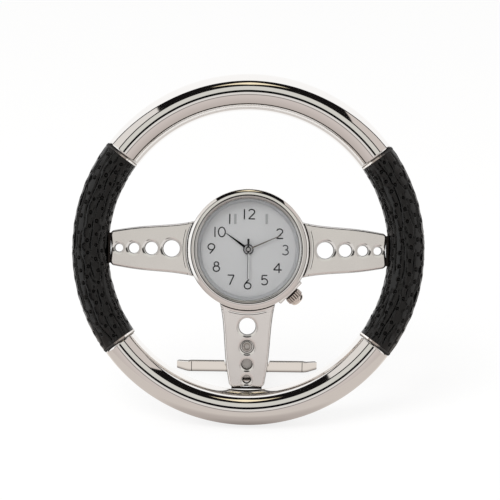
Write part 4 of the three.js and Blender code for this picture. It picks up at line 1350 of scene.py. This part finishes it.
def growWings(bm, upper, row):
    # Out from both ends of the foot, turning back in an arc and falling toward their ends
    s = stand
    step, reach, wing = s["wingBendStep"], s["wingLength"], s["wingAngle"]
    turns = [wing * i / 5 for i in range(1, 6)]
    steps = [(0.2, 0), (s["wingBend"] - s["stripWidth"] / 2, 0)]
    steps += [(step * math.cos(turn), step * math.sin(turn)) for turn in turns]
    steps += [(reach * math.cos(wing), reach * math.sin(wing))]
    for side in (-1, 1):
        edges = [bm.edges.get((row[1 + side], upper[1 + side]))]
        for out, back in steps:
            edges = grow(bm, edges)
            bmesh.ops.translate(bm, verts=edges[0].verts, vec=(side * out, back, 0))
    bmesh.ops.recalc_face_normals(bm, faces=bm.faces)
    for vert in bm.verts:
        if abs(vert.co.x) > s["stripWidth"] / 2 + 0.01 and vert.co.z > 0.5:
            beyond = max(abs(vert.co.x) - s["wingFallFrom"], 0)
            vert.co.z = s["footHeight"] - s["wingFall"] * beyond
        if vert.co.z < upper[1].co.z - 0.01:
            vert.co.z = 0


def makeStand():
    s = stand
    bm = bmesh.new()
    growWings(bm, *sweepStrip(bm))
    # Above the foot the sheet takes the darker steel, a painted shade
    for face in bm.faces:
        face.material_index = 1 if face.calc_center_median().z > s["footHeight"] + 1 else 0
    # The sheet grows against its normals, so half the thickness is given first
    bm.normal_update()
    for vert in bm.verts:
        vert.co += vert.normal * s["thick"] / 2
    bmesh.ops.solidify(bm, geom=bm.faces[:], thickness=s["thick"])
    for vert in bm.verts:
        vert.co.z = max(vert.co.z, 0)
    bmesh.ops.recalc_face_normals(bm, faces=bm.faces)
    soften(bm, s["edgeRound"], 3, 60)
    bm.normal_update()
    # The wings' top faces take the wall shade, a painted shade
    for face in bm.faces:
        middle = face.calc_center_median()
        if face.normal.z > 0.85 and abs(middle.x) > s["stripWidth"] / 2 and middle.z > 1:
            face.material_index = 2
    piece = finishPiece("stand_sheet", bm, chrome, nodes=["stand_bracket"],
                        place=floorPlace, flat=True)
    piece.data.materials.append(shadedSteel)
    piece.data.materials.append(wallShade)      # the sheared top edge of the foot


def footCreaseShades():
    # A painted shade line in front where each wing turns back
    bm = bmesh.new()
    width, depth = stand["crease"]
    height = stand["footHeight"]
    for side in (-1, 1):
        joinInto(bm, block((width, depth, height - 0.25),
                           (side * (stand["wingBend"] + 0.05), stand["footFront"] + 0.08, height / 2)))
    finishPiece("foot_crease_shades", bm, seamShade, place=floorPlace)


makeStand()
footCreaseShades()

# Rivet, in the bottom spoke's second hole
rivet = {
    "place": (0, 0, -22.1),
    "corners": [(0, -0.8), (0.5, -0.82), (0.66, -0.95), (0.78, -1.22), (0.9, -1.3), (1.08, -1.26),
                (1.2, -1.08), (1.2, -0.7), (0.75, -0.7), (0.75, 1.95), (1.2, 1.95), (1.05, 2.3),
                (0.75, 2.5), (0, 2.55)],
    "seat": [(0.85, -0.65), (1.7, -0.65), (1.7, 0.85), (0.85, 0.85)],
}


def makeRivet():
    place = Matrix.Translation(rivet["place"])
    body = lathe(rivet["corners"], 48, closed=False)
    body.transform(place)
    finishPiece("rivet", body, shadedSteel, nodes=["stand_rivet"], sharp=35)
    seat = soften(lathe(rivet["seat"], 48), 0.05, 2)
    seat.transform(place)
    finishPiece("rivet_seat", seat, satinChrome)


makeRivet()
print("stand made")

# Inner parts keep their solids and get their finishes
brass = polishedMetal("brass", tone(214, 178, 100), 0.25, 0.1)
copperWire = polishedMetal("copperWire", tone(196, 112, 70), 0.35, 0.1)
steel = polishedMetal("plainSteel", tone(196, 196, 196), 0.28, 0.1)
rubberBlack = paintedMetal("rubber", tone(28, 28, 28), 0.75, 0.0)
plasticWhite = paintedMetal("movementPlastic", tone(224, 222, 214), 0.5, 0.0)
boardGreen = paintedMetal("circuitBoard", tone(44, 92, 60), 0.45, 0.0)
finishes = [
    (crystalGlass(), ["crystal"]),
    (dialPaint, ["dial"]),
    (brushedSteel, ["insert_ring", "button_cell"]),
    (rubberBlack, ["crystal_gasket", "case_back_gasket", "crown_gasket"]),
    (plasticWhite, ["movement_holder"]),
    (boardGreen, ["circuit_board"]),
    (copperWire, ["coil_winding"]),
    (brass, ["main_plate", "train_bridge", "third_wheel", "fifth_wheel", "centre_wheel",
             "seconds_wheel", "motion_wheel", "hour_wheel"]),
    (steel, ["cannon_pinion", "rotor", "stator", "coil_core", "quartz_can", "battery_clip",
             "bridge_screw_1", "bridge_screw_2", "crown_tube", "setting_stem", "sliding_pinion",
             "setting_spring"]),
]
for finish, nodes in finishes:
    for node in nodes:
        for slot in frame["nodes"][node].material_slots:
            slot.material = finish
print("finishes set")
